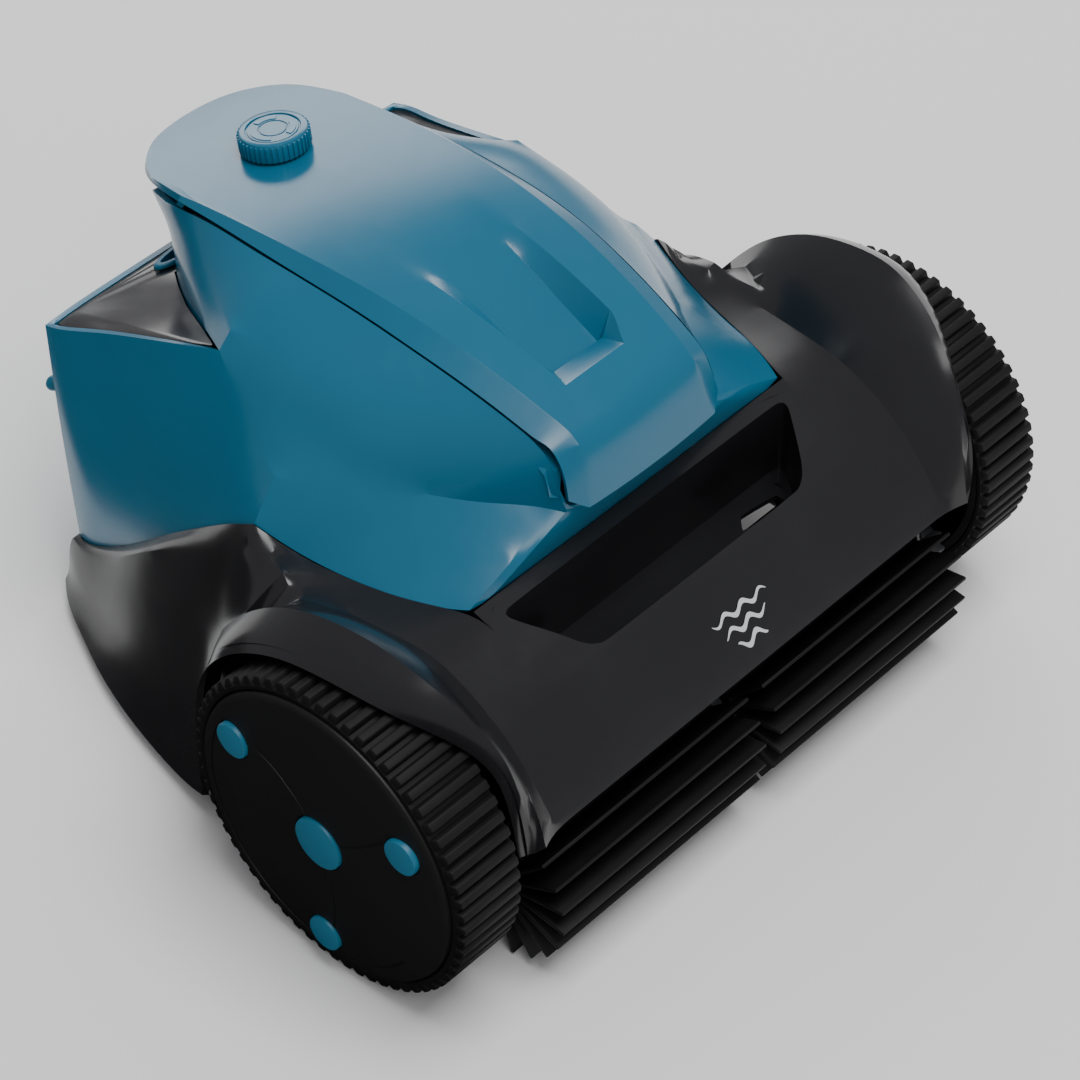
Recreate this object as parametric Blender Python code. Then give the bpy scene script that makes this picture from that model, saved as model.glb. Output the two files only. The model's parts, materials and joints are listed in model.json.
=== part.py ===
"""Robotic pool cleaner with two front wheels, a split front brush and a hinged bonnet.

Sizes below are millimetres in a frame whose origin is on the floor under the wheel axle:
-Y is the front, +X is on the right of someone who faces the front, and +Z is up. An empty
named frame_origin carries every piece and moves that frame so that the machine's box is centred.
"""
import math

import bmesh
import bpy
from mathutils import Vector

MM = 0.001

# ---------------------------------------------------------------- driving dimensions
BOX_CENTRE_Y = 90.46
WHEEL_R = 75.0
AXLE_Z = WHEEL_R
TREAD_IN, TREAD_OUT = 148.5, 183.0
FACE_X, DISC_X, DISC_R = 184.2, 186.8, 61.5
CAP_SEAT_X, CAP_X = 182.8, 188.0
RIM_R = 68.6
LUG_COUNT = 64
LUG_ROOT_R = 71.4
HUB_CAP_R, SMALL_CAP_R, SMALL_CAP_ORBIT = 12.3, 8.3, 53.4
AXLE_R = 6.0

BRUSH_Y, BRUSH_Z = -41.9, 39.0
BRUSH_TIP_R, BRUSH_CORE_R = 39.0, 14.0
BRUSH_IN, BRUSH_OUT = 4.6, 131.0
BLADE_COUNT, BLADE_T = 21, 2.4
BLADE_PHASE = math.radians(-2.7)

GEAR_IN, GEAR_OUT = 137.8, 145.8
GEAR_MODULE = 2.3
WHEEL_TEETH, BRUSH_TEETH, PINION_TEETH = 36, 12, 9
PINION_ANGLE = math.radians(20.0)

WALL = 2.8
GAP = 0.4

LID_PEAK_Y, LID_PEAK_Z = 120.0, 215.1
LID_FRONT_FALL, LID_REAR_FALL = 0.00179, 0.000927
LID_SIDE_END = 212.0
LID_TAIL = 49.0
LID_CROWN = 0.8
HINGE_Y, HINGE_Z = 246.0, 185.0
DIAL_Y, DIAL_R, DIAL_H = 204.0, 16.0, 9.6

DECK_Z, DECK_Y, DECK_SLOPE = 157.5, 236.0, 0.336
OUTLET_Y, OUTLET_HALF_L, OUTLET_HALF_W = 228.8, 50.0, 7.2

PAN_Z, PAN_T, PAN_TOP = 22.0, 3.0, 66.0
CHEEK_IN, CHEEK_OUT = 133.0, 136.0
SLOT_BACK, SLOT_FRONT = (90.0, -6.7), (66.0, -38.6)
SLOT_FLOOR, SLOT_WALL = 97.5, 2.5
DRAIN = ((52.0, -15.4), (72.4, -18.2), (71.6, -25.6), (45.2, -22.4))

BASKET_X, BASKET_Y0, BASKET_Y1 = 33.0, 30.0, 148.0
BASKET_Z0, BASKET_Z1 = 57.0, 150.0
HANDLE_Y, HANDLE_Z = 89.0, 154.0
THROAT_X, THROAT_Y0, THROAT_Y1, THROAT_TOP = 30.6, 32.4, 60.0, 55.0
FLAP_Y, FLAP_Z = 57.8, 30.0
MOTOR_Y, MOTOR_R = 190.0, 26.0
REAR_WHEEL_Y, REAR_WHEEL_R = 200.0, 15.0
SIDES = (("left", -1), ("right", 1))
SCREWS = ((-115.0, 82.0), (115.0, 82.0), (-84.0, 214.0), (84.0, 214.0))
PIN_R, STUD_R, AXLE_PIN_R, DIAL_SHAFT_R = 2.0, 2.0, 2.5, 4.0
STUD_X, STUD_Z = -95.0, 109.0
DUCT_R, DUCT_Z0, DUCT_Z1 = 28.0, 109.4, 127.0
PINION_REACH = (WHEEL_TEETH + PINION_TEETH) * GEAR_MODULE / 2.0
PINION_Y = PINION_REACH * math.cos(PINION_ANGLE)
PINION_Z = AXLE_Z + PINION_REACH * math.sin(PINION_ANGLE)


# ---------------------------------------------------------------- helpers
def clear_scene():
    """Start from an empty scene."""
    for obj in list(bpy.data.objects):
        bpy.data.objects.remove(obj, do_unlink=True)


def material(name, colour, roughness, metallic=0.0):
    """A Principled finish."""
    mat = bpy.data.materials.new(name)
    mat.use_nodes = True
    shader = mat.node_tree.nodes["Principled BSDF"]
    shader.inputs["Base Color"].default_value = (*colour, 1.0)
    shader.inputs["Roughness"].default_value = roughness
    shader.inputs["Metallic"].default_value = metallic
    mat.diffuse_color = (*colour, 1.0)
    return mat


def finish(name, bm, mat, origin=(0.0, 0.0, 0.0), sharp=35.0, local=False, tilt=0.0):
    """Make a placed object from a bmesh in millimetres, drawn about its origin if it is local."""
    if not local:
        bmesh.ops.translate(bm, vec=-Vector(origin), verts=bm.verts)
    bmesh.ops.remove_doubles(bm, verts=bm.verts, dist=0.01)
    bmesh.ops.recalc_face_normals(bm, faces=bm.faces)
    bmesh.ops.scale(bm, vec=(MM, MM, MM), verts=bm.verts)
    mesh = bpy.data.meshes.new(name)
    bm.to_mesh(mesh)
    bm.free()
    mesh.materials.append(mat)
    mesh.shade_smooth()
    mesh.set_sharp_from_angle(angle=math.radians(sharp))
    obj = bpy.data.objects.new(name, mesh)
    bpy.context.scene.collection.objects.link(obj)
    obj.parent = FRAME
    obj.location = Vector(origin) * MM
    obj.rotation_euler = (tilt, 0.0, 0.0)
    return obj


def shape(target, bm, operation="DIFFERENCE", origin=(0.0, 0.0, 0.0), local=False, tilt=0.0):
    """Cut a shape out of the target, or add it with UNION, and keep the hidden tool object."""
    count = len(target.modifiers) + 1
    tool = finish(f"{target.name}_tool_{count}", bm, target.active_material, origin, 35.0, local, tilt)
    tool.hide_render = True
    tool.display_type = "WIRE"
    mod = target.modifiers.new(tool.name, "BOOLEAN")
    mod.solver = "EXACT"
    mod.operation = operation
    mod.object = tool


def basis(axis):
    """Two in-plane directions and the direction along an axis letter."""
    table = {
        "X": (Vector((0, 1, 0)), Vector((0, 0, 1)), Vector((1, 0, 0))),
        "Y": (Vector((0, 0, 1)), Vector((1, 0, 0)), Vector((0, 1, 0))),
        "Z": (Vector((1, 0, 0)), Vector((0, 1, 0)), Vector((0, 0, 1))),
    }
    return table[axis]


def band(bm, lower, upper):
    """Close the strip between two rings of as many points."""
    for i in range(len(lower)):
        j = (i + 1) % len(lower)
        bm.faces.new((lower[i], lower[j], upper[j], upper[i]))


def prism(outline, start, end, axis="Z", hole=None):
    """Extrude a closed outline along an axis; its point count is a multiple of its hole's."""
    u, v, w = basis(axis)
    bm = bmesh.new()
    outer = [[bm.verts.new(u * a + v * b + w * along) for a, b in outline] for along in (start, end)]
    band(bm, *outer)
    if hole is None:
        bm.faces.new(outer[0][::-1])
        bm.faces.new(outer[1])
        return bm
    inner = [[bm.verts.new(u * a + v * b + w * along) for a, b in hole] for along in (start, end)]
    band(bm, *inner)
    step = len(outline) // len(hole)
    for ring, bore in zip(outer, inner):
        for i in range(len(bore)):
            arc = [ring[(i * step + k) % len(ring)] for k in range(step + 1)]
            bm.faces.new([*arc, bore[(i + 1) % len(bore)], bore[i]])
    return bm


def loft(rings, capped=True):
    """Join closed rings of 3-D points; without caps the last ring joins the first."""
    bm = bmesh.new()
    loops = [[bm.verts.new(point) for point in ring] for ring in rings]
    for lower, upper in zip(loops, loops[1:]):
        band(bm, lower, upper)
    if capped:
        bm.faces.new(loops[0][::-1])
        bm.faces.new(loops[-1])
    else:
        band(bm, loops[-1], loops[0])
    return bm


def joined(*parts):
    """Several separate bodies in one mesh."""
    whole = bmesh.new()
    for part in parts:
        copies = {vert: whole.verts.new(vert.co) for vert in part.verts}
        for face in part.faces:
            whole.faces.new([copies[vert] for vert in face.verts])
        part.free()
    return whole


def circle(radius, count, centre=(0.0, 0.0), phase=0.0):
    """Points round a circle."""
    step = math.tau / count
    return [
        (centre[0] + radius * math.cos(phase + i * step), centre[1] + radius * math.sin(phase + i * step))
        for i in range(count)
    ]


def rod(radius, start, end, axis, count=24, centre=(0.0, 0.0), bore=0.0):
    """A round bar or tube along an axis."""
    hole = circle(bore, count, centre) if bore else None
    return prism(circle(radius, count, centre), start, end, axis, hole)


def box(x0, x1, y0, y1, z0, z1):
    """An upright block."""
    return prism([(x0, y0), (x1, y0), (x1, y1), (x0, y1)], z0, z1)


def lathe(profile, count, axis="X"):
    """Turn a closed profile of (along, radius) points about an axis."""
    u, v, w = basis(axis)
    bm = bmesh.new()
    rings = []
    for along, radius in profile:
        if radius < 0.01:
            rings.append([bm.verts.new(w * along)] * count)
            continue
        rings.append([bm.verts.new(w * along + u * a + v * b) for a, b in circle(radius, count)])
    for k in range(len(profile)):
        here, there = rings[k], rings[(k + 1) % len(profile)]
        for i in range(count):
            j = (i + 1) % count
            corners = []
            for vert in (here[i], here[j], there[j], there[i]):
                if vert not in corners:
                    corners.append(vert)
            if len(corners) > 2:
                bm.faces.new(corners)
    return bm


def toothed(count, root_r, tip_r, root_share, tip_share, phase=0.0):
    """Outline with straight-sided teeth; the shares are half widths in tooth pitches."""
    pitch = math.tau / count
    points = []
    for i in range(count):
        middle = phase + i * pitch
        corners = ((root_r, -root_share), (tip_r, -tip_share), (tip_r, tip_share), (root_r, root_share))
        for radius, share in corners:
            angle = middle + share * pitch
            points.append((radius * math.cos(angle), radius * math.sin(angle)))
    return points


def gear(teeth, start, end, phase, bore=0.0):
    """A straight-cut gear with running clearance; its bore has one point for each tooth."""
    pitch_r = teeth * GEAR_MODULE / 2.0
    outline = toothed(
        teeth, pitch_r - 1.1 * GEAR_MODULE, pitch_r + 0.75 * GEAR_MODULE, 0.31, 0.105, phase)
    hole = circle(bore, teeth, phase=phase - 0.31 * math.tau / teeth) if bore else None
    return prism(outline, start, end, "X", hole)


def mating_phase(direction, teeth_a, phase_a, teeth_b):
    """Tooth angle of gear B that puts one of its gaps over the nearest tooth of gear A."""
    pitch_a = math.tau / teeth_a
    nearest = phase_a + round((direction - phase_a) / pitch_a) * pitch_a
    gap = direction + math.pi + (direction - nearest) * teeth_a / teeth_b
    return gap + math.pi / teeth_b


def vanes(count, core_r, tip_r, thickness, start, end, axis, bore, phase=0.0):
    """Straight vanes round a core with a bore, in one extrusion."""
    points = []
    for i in range(count):
        middle = phase + i * math.tau / count
        root = math.asin(0.62 * thickness / core_r)
        tip = math.asin(0.42 * thickness / tip_r)
        for radius, offset in ((core_r, -root), (tip_r, -tip), (tip_r, tip), (core_r, root)):
            angle = middle + offset
            points.append((radius * math.cos(angle), radius * math.sin(angle)))
    root = math.asin(0.62 * thickness / core_r)
    return prism(points, start, end, axis, circle(bore, 2 * count, phase=phase - root))


def rounded(corners, radius, steps=4):
    """An outline with each corner replaced by a smooth curve."""
    points = []
    for i, corner in enumerate(corners):
        here = Vector(corner)
        before = Vector(corners[i - 1])
        after = Vector(corners[(i + 1) % len(corners)])
        start = here + (before - here).normalized() * radius
        end = here + (after - here).normalized() * radius
        for k in range(steps + 1):
            t = k / steps
            point = start * (1 - t) ** 2 + here * 2 * t * (1 - t) + end * t * t
            points.append((point.x, point.y))
    return points


def oval(half_l, half_w, count, centre, power=2.3):
    """Points round a flattened oval."""
    points = []
    for i in range(count):
        angle = i * math.tau / count
        c, s = math.cos(angle), math.sin(angle)
        x = half_l * math.copysign(abs(c) ** (2.0 / power), c)
        y = half_w * math.copysign(abs(s) ** (2.0 / power), s)
        points.append((centre[0] + x, centre[1] + y))
    return points


def mirrored(rows):
    """The same rows on the other side of the centre plane."""
    return [[(-x, y, z) for x, y, z in row] for row in rows]


def skin(patches, thickness):
    """Close a surface made of grids of points into a wall of one thickness, grown inwards."""
    bm = bmesh.new()
    for rows, flip in patches:
        grid = [[bm.verts.new(p) for p in row] for row in rows]
        for a, b in zip(grid, grid[1:]):
            for i in range(len(a) - 1):
                quad = (a[i], a[i + 1], b[i + 1], b[i])
                bm.faces.new(quad[::-1] if flip else quad)
    bmesh.ops.remove_doubles(bm, verts=bm.verts, dist=0.02)
    bmesh.ops.dissolve_degenerate(bm, edges=bm.edges, dist=0.02)
    bm.normal_update()
    outer = list(bm.verts)
    faces = list(bm.faces)
    rim = [edge for edge in bm.edges if len(edge.link_faces) == 1]
    rim_loops = [(edge.link_loops[0].vert, edge.link_loops[0].link_loop_next.vert) for edge in rim]
    inner = {}
    for vert in outer:
        shallow = min(face.normal.dot(vert.normal) for face in vert.link_faces)
        inner[vert] = bm.verts.new(vert.co - vert.normal * thickness / max(shallow, 0.72))
    for face in faces:
        bm.faces.new([inner[v] for v in reversed(face.verts)])
    for start, end in rim_loops:
        bm.faces.new((end, start, inner[start], inner[end]))
    return bm


def bezier(a, b, c, count):
    """Inner points of a quadratic curve from a to c that leans towards b."""
    points = []
    for i in range(1, count + 1):
        t = i / (count + 1)
        points.append(tuple(
            (1 - t) ** 2 * p + 2 * t * (1 - t) * q + t * t * r for p, q, r in zip(a, b, c)))
    return points


def lean(a, b, out, up):
    """A control point beside the middle of a to b, moved outwards and upwards."""
    middle = (a[0] + b[0]) / 2
    return (middle + (out if middle > 0.0 else 0.0), (a[1] + b[1]) / 2, (a[2] + b[2]) / 2 + up)


# ---------------------------------------------------------------- shared shapes of the shells
def crest_z(y):
    """Height of the bonnet's edge line, which peaks over the basket."""
    fall = LID_FRONT_FALL if y < LID_PEAK_Y else LID_REAR_FALL
    return LID_PEAK_Z - fall * (y - LID_PEAK_Y) ** 2


def lid_half_width(y):
    """Half width of the bonnet's top panel."""
    if y >= 165.0:
        return 48.5
    return 48.5 - 13.8 * ((165.0 - y) / 165.0) ** 1.6


def strip_out(y):
    """How far the bonnet's side strip stands out of its edge line."""
    return 1.0 + 9.4 * min(1.0, max(0.0, (225.0 - y) / 150.0)) ** 0.8


def strip_drop(y):
    """How far the side strip falls below the edge line."""
    return 2.0 + 3.8 * min(1.0, max(0.0, (225.0 - y) / 90.0))


def deck_z(y):
    """Height of the sloping rear deck."""
    return DECK_Z + DECK_SLOPE * (DECK_Y - y)


def front_deck_z(y):
    """Height of the front deck, which rolls over to the bumper edge."""
    t = -y
    return 137.5 - 0.285 * t - 0.000101 * t ** 3


def valley(y):
    """Foot of the bonnet's side strip, where the body shell takes over."""
    return (lid_half_width(y) + strip_out(y), y, crest_z(y) - strip_drop(y))


NOSE_ROWS = (
    # y and z of the edge line, its half width, then the foot of the side strip
    ((-10.0, 161.0, 38.6), (46.6, -5.6, 166.0)),
    ((-7.6, 170.0, 36.7), (45.8, -3.6, 173.0)),
    ((-4.8, 179.5, 35.3), (45.3, -0.6, 180.0)),
    ((-1.2, 186.8, 34.9), (45.3, 3.0, 185.0)),
    ((4.0, 191.0, 34.9), (45.4, 7.4, 187.6)),
)
LID_TOP_Y = (
    12.0, 19.0, 31.0, 33.5, 46.0, 60.0, 74.0, 88.0, 106.0, 126.0, 146.0, 166.0, 185.0, 200.0, 212.0,
)
LID_COLUMNS = (0.0, 0.2, 0.38, 0.56, 0.78, 0.93, 1.0)
RECESS_FLOOR = {31.0: 8.2, 33.5: 13.0, 46.0: 11.6, 60.0: 9.0, 74.0: 5.6, 88.0: 2.2}


def lid_row(y):
    """One row of the bonnet's top, which bulges backwards near the tail."""
    half = lid_half_width(y)
    bulge = LID_TAIL * (max(0.0, y - 126.0) / (LID_SIDE_END - 126.0)) ** 2.2
    row = []
    for v in LID_COLUMNS:
        py = y + bulge * (1.0 - v ** 2.3) ** (1.0 / 2.3)
        sink = RECESS_FLOOR.get(y, 0.0) if v < 0.5 else 0.0
        row.append((v * half, py, crest_z(py) + LID_CROWN * (1.0 - v * v) - sink))
    foot = valley(y)
    row.append((foot[0] - 2.0 * GAP, foot[1], foot[2] + 0.3))
    return row


def nose_row(edge, foot):
    """One row of the bonnet's steep nose."""
    y, z, half = edge
    row = [(v * half, y - 1.6 * (1.0 - v * v), z) for v in LID_COLUMNS]
    row.append((foot[0] - 2.0 * GAP, foot[1] + 0.2, foot[2] + 0.5))
    return row


def lid_rows():
    """All rows of the right half of the bonnet, nose first."""
    rows = [nose_row(edge, foot) for edge, foot in NOSE_ROWS]
    rows += [lid_row(y) for y in LID_TOP_Y]
    *edge, foot = rows[-1]
    hem = [(x * 1.012, y + 0.8, z - 3.4) for x, y, z in edge]
    hem.append((foot[0], foot[1] + 1.5, foot[2] - 2.6))
    return rows + [hem]


# ---------------------------------------------------------------- body shell rows
# foot of the bonnet strip (t), shoulder line (l), chassis line (b) from the front centre backwards
BODY_ROWS = (
    ((0.0, -8.2, 160.2), (0.0, -7.4, 157.6), (0.0, 0.5, 136.8)),
    ((20.0, -7.6, 160.2), (20.0, -6.8, 157.6), (30.0, 0.5, 136.8)),
    ((37.0, -6.6, 160.2), (38.0, -5.8, 157.8), (60.0, 0.5, 136.8)),
    ((45.0, -3.9, 162.4), (45.6, -3.4, 159.0), (86.0, 0.7, 136.8)),
    ((47.0, -2.0, 171.0), (48.2, 0.2, 160.0), (95.6, 2.6, 136.4)),
    ((46.4, 2.4, 182.0), (53.0, 8.0, 160.8), (99.7, 9.2, 135.4)),
)
SIDE_ROWS = (
    # station of the valley, shoulder point, chassis point
    (12.0, (61.0, 18.0, 161.0), (104.6, 20.0, 135.2)),
    (22.0, (68.6, 28.0, 161.2), (108.0, 30.0, 134.8)),
    (38.0, (76.6, 41.0, 162.0), (111.0, 42.0, 134.2)),
    (57.0, (85.0, 57.0, 164.4), (114.6, 57.0, 134.4)),
    (78.0, (92.6, 77.0, 169.6), (119.2, 77.0, 137.2)),
    (98.0, (96.0, 97.0, 175.8), (123.4, 96.0, 143.6)),
    (119.0, (95.4, 120.0, 182.4), (121.2, 117.0, 128.6)),
    (141.0, (92.2, 145.0, 188.0), (118.2, 140.0, 109.0)),
)
CABIN_ROWS = (
    # foot of the strip or tail edge, and the point where the cabin meets the rear deck
    ((54.2, 164.0, 208.0), (80.8, 166.0)),
    ((52.6, 188.0, 207.0), (68.4, 190.0)),
    ((50.2, 208.0, 201.8), (56.8, 208.0)),
    ((48.5, 222.0, 198.4), (48.5, 219.0)),
    ((43.5, 236.0, 194.5), (41.0, 221.0)),
    ((34.0, 241.0, 186.0), (30.0, 218.0)),
    ((20.0, 241.0, 182.0), (20.0, 215.0)),
    ((0.0, 241.0, 181.0), (0.0, 213.0)),
)
WALL_ROWS = (
    # top of the side wall as plan position, and the chassis line
    ((94.8, 165.0), (115.8, 162.0, 90.0)),
    ((98.2, 190.0), (112.6, 186.0, 67.0)),
    ((101.6, 211.0), (109.6, 206.0, 50.0)),
    ((107.0, 229.0), (108.0, 224.0, 38.6)),
    ((106.0, 239.4), (104.4, 234.4, 35.0)),
    ((91.0, 241.4), (90.0, 235.4, 34.0)),
    ((60.0, 242.0), (60.0, 236.0, 34.0)),
    ((0.0, 242.0), (0.0, 236.0, 34.0)),
)


def seat(foot):
    """Recessed ledge that the bonnet closes onto, inside the strip's foot."""
    x, y, z = foot
    inward = 5.0 if x > 3.0 else 0.0
    back = 5.0 if y < 0.0 else 0.0
    return [(x - inward, y + back, z - 4.2), (x, y + back * 0.1, z - 4.2)]


def flank(top, shoulder, out, up):
    """Curved wall from the bonnet strip's foot to the shoulder line."""
    return bezier(top, lean(top, shoulder, out, up), shoulder, 3)


def body_patches():
    """Grids of the body shell's right half: full rows, cabin rows and rear wall rows."""
    full = []
    for top, shoulder, foot in BODY_ROWS:
        full.append((top, flank(top, shoulder, 0.0, 0.0), shoulder, foot))
    for y, shoulder, foot in SIDE_ROWS:
        top = valley(y)
        swell = min(1.0, y / 80.0)
        full.append((top, flank(top, shoulder, 2.0 + 7.0 * swell, 2.0 + 4.0 * swell), shoulder, foot))
    rows = []
    for top, side, shoulder, foot in full:
        low = bezier(shoulder, lean(shoulder, foot, 1.0, -1.0 if foot[1] < 60.0 else 2.0), foot, 3)
        tuck = (max(0.0, foot[0] - 3.6), foot[1] + (2.4 if foot[1] < 5.0 else 0.0), foot[2] - 5.0)
        rows.append([top, *side, shoulder, *low, foot, tuck])
    cabin = [rows[-1][:5]]
    skirt = []
    for top, (x, y) in CABIN_ROWS:
        deck_point = (x, y, deck_z(y))
        side = flank(top, deck_point, 5.0 if x > 50.0 else 1.0, 2.0)
        cabin.append([top, *side, deck_point])
        skirt.append([deck_point, (x, y, deck_point[2] - 7.0)])
    wall = [rows[-1][4:]]
    for (x, y), foot in WALL_ROWS:
        top = (x, y, deck_z(y))
        low = bezier(top, lean(top, foot, 1.5, 0.0), foot, 3)
        inward = 3.4 if foot[0] > 95.0 else 0.0
        forward = 3.4 if foot[1] > 230.0 else 0.0
        wall.append([top, *low, foot, (foot[0] - inward, foot[1] - forward, foot[2] - 5.0)])
    return rows, cabin, skirt, wall


# ---------------------------------------------------------------- chassis cover rows
FENDER_ROWS = (
    # angle round the wheel from the rear, rim x, rim radius, crown radius
    (175.0, 142.6, 67.6, 69.0),
    (163.0, 145.0, 70.2, 72.0),
    (150.0, 145.6, 74.4, 77.0),
    (138.4, 146.0, 77.0, 81.6),
    (126.0, 153.0, 77.8, 85.8),
    (112.6, 164.0, 78.0, 90.0),
    (99.6, 170.4, 78.4, 92.8),
    (90.0, 172.8, 79.0, 93.8),
    (71.8, 173.8, 80.0, 93.2),
    (56.9, 174.4, 81.2, 92.4),
    (42.5, 174.8, 82.8, 92.0),
    (28.6, 175.0, 84.2, 92.4),
)
CREST_X, CREST_R = 134.6, 74.6
HAUNCH_ROWS = (
    # chassis line point, crest point, mid point, rim point behind the wheel
    ((117.6, 68.0, 135.6), (133.0, 70.0, 140.0), (153.0, 84.6, 109.0), (173.8, 81.2, 95.0)),
    ((121.0, 82.0, 139.0), (134.0, 83.0, 137.0), (153.2, 90.0, 95.4), (173.4, 85.0, 75.0)),
    ((124.4, 95.6, 144.4), (136.0, 93.0, 130.0), (153.0, 95.0, 80.0), (170.0, 89.0, 48.0)),
    ((123.7, 107.0, 137.0), (134.0, 104.0, 121.0), (150.6, 103.0, 62.0), (163.6, 96.0, 14.0)),
    ((122.0, 117.0, 129.3), (131.4, 116.0, 118.0), (148.0, 114.0, 50.0), (160.0, 112.0, 8.0)),
    ((119.0, 140.0, 109.7), (127.0, 140.0, 103.0), (142.6, 139.0, 42.0), (154.6, 139.0, 8.0)),
    ((116.0, 162.0, 90.4), (123.6, 163.0, 86.0), (136.6, 163.0, 34.0), (148.0, 164.0, 8.0)),
    ((112.8, 186.0, 67.4), (119.6, 187.0, 64.0), (129.4, 187.6, 27.0), (139.6, 188.0, 8.0)),
    ((109.9, 206.0, 50.4), (115.4, 207.0, 47.0), (122.0, 208.0, 22.0), (130.0, 208.0, 8.0)),
    ((108.3, 224.4, 39.0), (112.4, 226.0, 36.0), (115.6, 228.0, 20.0), (120.6, 229.0, 8.0)),
    ((104.7, 234.8, 35.4), (107.0, 237.6, 33.0), (108.6, 239.0, 19.0), (110.0, 241.6, 8.0)),
    ((90.0, 235.9, 34.4), (91.0, 239.6, 32.0), (91.6, 240.8, 19.0), (92.0, 244.6, 8.0)),
    ((60.0, 236.5, 34.4), (60.0, 240.2, 32.0), (60.0, 241.4, 19.0), (60.0, 245.4, 8.0)),
    ((0.0, 236.5, 34.4), (0.0, 240.2, 32.0), (0.0, 241.4, 19.0), (0.0, 245.4, 8.0)),
)


def chassis_line(y):
    """Where the body shell's side meets the chassis, for the stations beside the fender."""
    line = [(0.0, 95.9, 136.6)] + [(f[1], f[0] + 0.4, f[2] + 0.2) for _, _, f in SIDE_ROWS]
    for (y0, x0, z0), (y1, x1, z1) in zip(line, line[1:]):
        if y <= y1:
            t = (y - y0) / (y1 - y0)
            return x0 + t * (x1 - x0), z0 + t * (z1 - z0)
    return line[-1][1:]


def polar(x, radius, angle):
    """A point round the wheel axle, with the angle counted up from the rear."""
    return (x, radius * math.cos(angle), AXLE_Z + radius * math.sin(angle))


def fender_row(degrees, rim_x, rim_r, crown_r):
    """One row over the wheel: deck, rise, crown, rim and its turned-in lip."""
    angle = math.radians(degrees)
    y = 70.0 * math.cos(angle)
    if y > 0.0:
        inner_x, z = chassis_line(y)
    else:
        inner_x, z = 95.9, front_deck_z(y)
    crest = polar(CREST_X, CREST_R, angle)
    crest = (crest[0], crest[1], max(crest[2], z + 2.0))
    span = CREST_X - inner_x
    deck = [(inner_x + span * share, y, z + rise) for share, rise in ((0.0, 0.0), (0.36, 0.0), (0.72, 0.4))]
    width = rim_x - CREST_X
    rise = polar(CREST_X + 0.3 * width, CREST_R + 0.66 * (crown_r - CREST_R), angle)
    crown = polar(CREST_X + 0.58 * width, crown_r, angle)
    brow = polar(CREST_X + 0.86 * width, rim_r + 0.55 * (crown_r - rim_r), angle)
    rim = polar(rim_x, rim_r, angle)
    lip = polar(rim_x - 3.0, rim_r + 0.5, angle)
    return deck + [crest, rise, crown, brow, rim, lip]


def haunch_row(line, crest, mid, rim):
    """One row behind the wheel: rounded crest, flat skirt and flared foot, as long as a fender row."""
    first = bezier(line, lean(line, crest, 1.0, 1.6), crest, 2)
    second = bezier(crest, lean(crest, mid, 1.0, 2.0), mid, 2)
    third = bezier(mid, lean(mid, rim, -2.0, -2.0), rim, 1)
    return [line, *first, crest, *second, mid, *third, rim]


def cover_patches():
    """Grids of the chassis cover: the front deck and one side."""
    side = [fender_row(*row) for row in FENDER_ROWS]
    side += [haunch_row(*row) for row in HAUNCH_ROWS]
    front = []
    for degrees, _, _, _ in FENDER_ROWS[:8]:
        y = 70.0 * math.cos(math.radians(degrees))
        front.append([(x, y, front_deck_z(y)) for x in (95.9, 62.0, 30.0, 0.0)])
    lip_side = [(p[0], p[1] + 3.4, p[2] - 0.5) for p in side[0]]
    lip_front = [(p[0], p[1] + 3.4, p[2] - 0.5) for p in front[0]]
    return [lip_side] + side, [lip_front] + front


# ---------------------------------------------------------------- shells
def build_body_shell(mat):
    """Teal shell: front shoulders, flanks, cabin tail and rear wall in one moulding."""
    rows, cabin, skirt, wall = body_patches()
    patches = []
    for grid in (rows, cabin, skirt, wall):
        patches.append((grid, False))
        patches.append((mirrored(grid), True))
    seats = [[*seat(row[0]), row[0]] for row in rows[4:] + cabin[1:4]]
    patches.append((seats, False))
    patches.append((mirrored(seats), True))
    shell = finish("body_shell", skin(patches, WALL), mat)
    for side in (-1, 1):
        corners = ((-9, -8), (-2, -5), (4.4, -2), (5, 2), (0, 5), (-6, 1))
        ear = [(HINGE_Y + a, HINGE_Z + b) for a, b in corners]
        shape(shell, prism(ear, side * 9.0, side * 14.0, "X"), "UNION")
    shape(shell, rod(PIN_R + 0.3, -30.0, 30.0, "X", 16, (HINGE_Y, HINGE_Z)))
    shape(shell, rod(STUD_R + 0.4, 226.0, 250.0, "Y", 16, (STUD_Z, STUD_X)))
    return shell


def build_lid(mat):
    """Bonnet: steep nose, long top panel with a finger recess, a rounded tail and hinge ears."""
    rows = lid_rows()
    lid = finish("bonnet_lid", skin([(rows, False), (mirrored(rows), True)], WALL), mat,
                 (0.0, HINGE_Y, HINGE_Z), 20.0)
    for side in (-1, 1):
        corners = ((-9, 14.6), (-5, 0), (-3, -4), (3, -4), (5, 0), (3, 13.6))
        ear = [(HINGE_Y + a, HINGE_Z + b) for a, b in corners]
        shape(lid, prism(ear, side * 14.8, side * 20.0, "X"), "UNION")
    shape(lid, rod(PIN_R + 0.3, -30.0, 30.0, "X", 16, (HINGE_Y, HINGE_Z)))
    shape(lid, rod(DIAL_SHAFT_R + 0.4, -12.0, 8.0, "Z", 24), "DIFFERENCE", DIAL_SEAT, True, DIAL_TILT)
    return lid


def slot_outline(grow):
    """Plan of the carrying slot in the front deck: a wide trapezoid with round corners."""
    (back_x, back_y), (front_x, front_y) = SLOT_BACK, SLOT_FRONT
    corners = [(back_x + grow, back_y + grow), (-back_x - grow, back_y + grow)]
    corners += [(-front_x - grow, front_y - grow), (front_x + grow, front_y - grow)]
    return rounded(corners, 9.0 + grow, 4)


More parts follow.
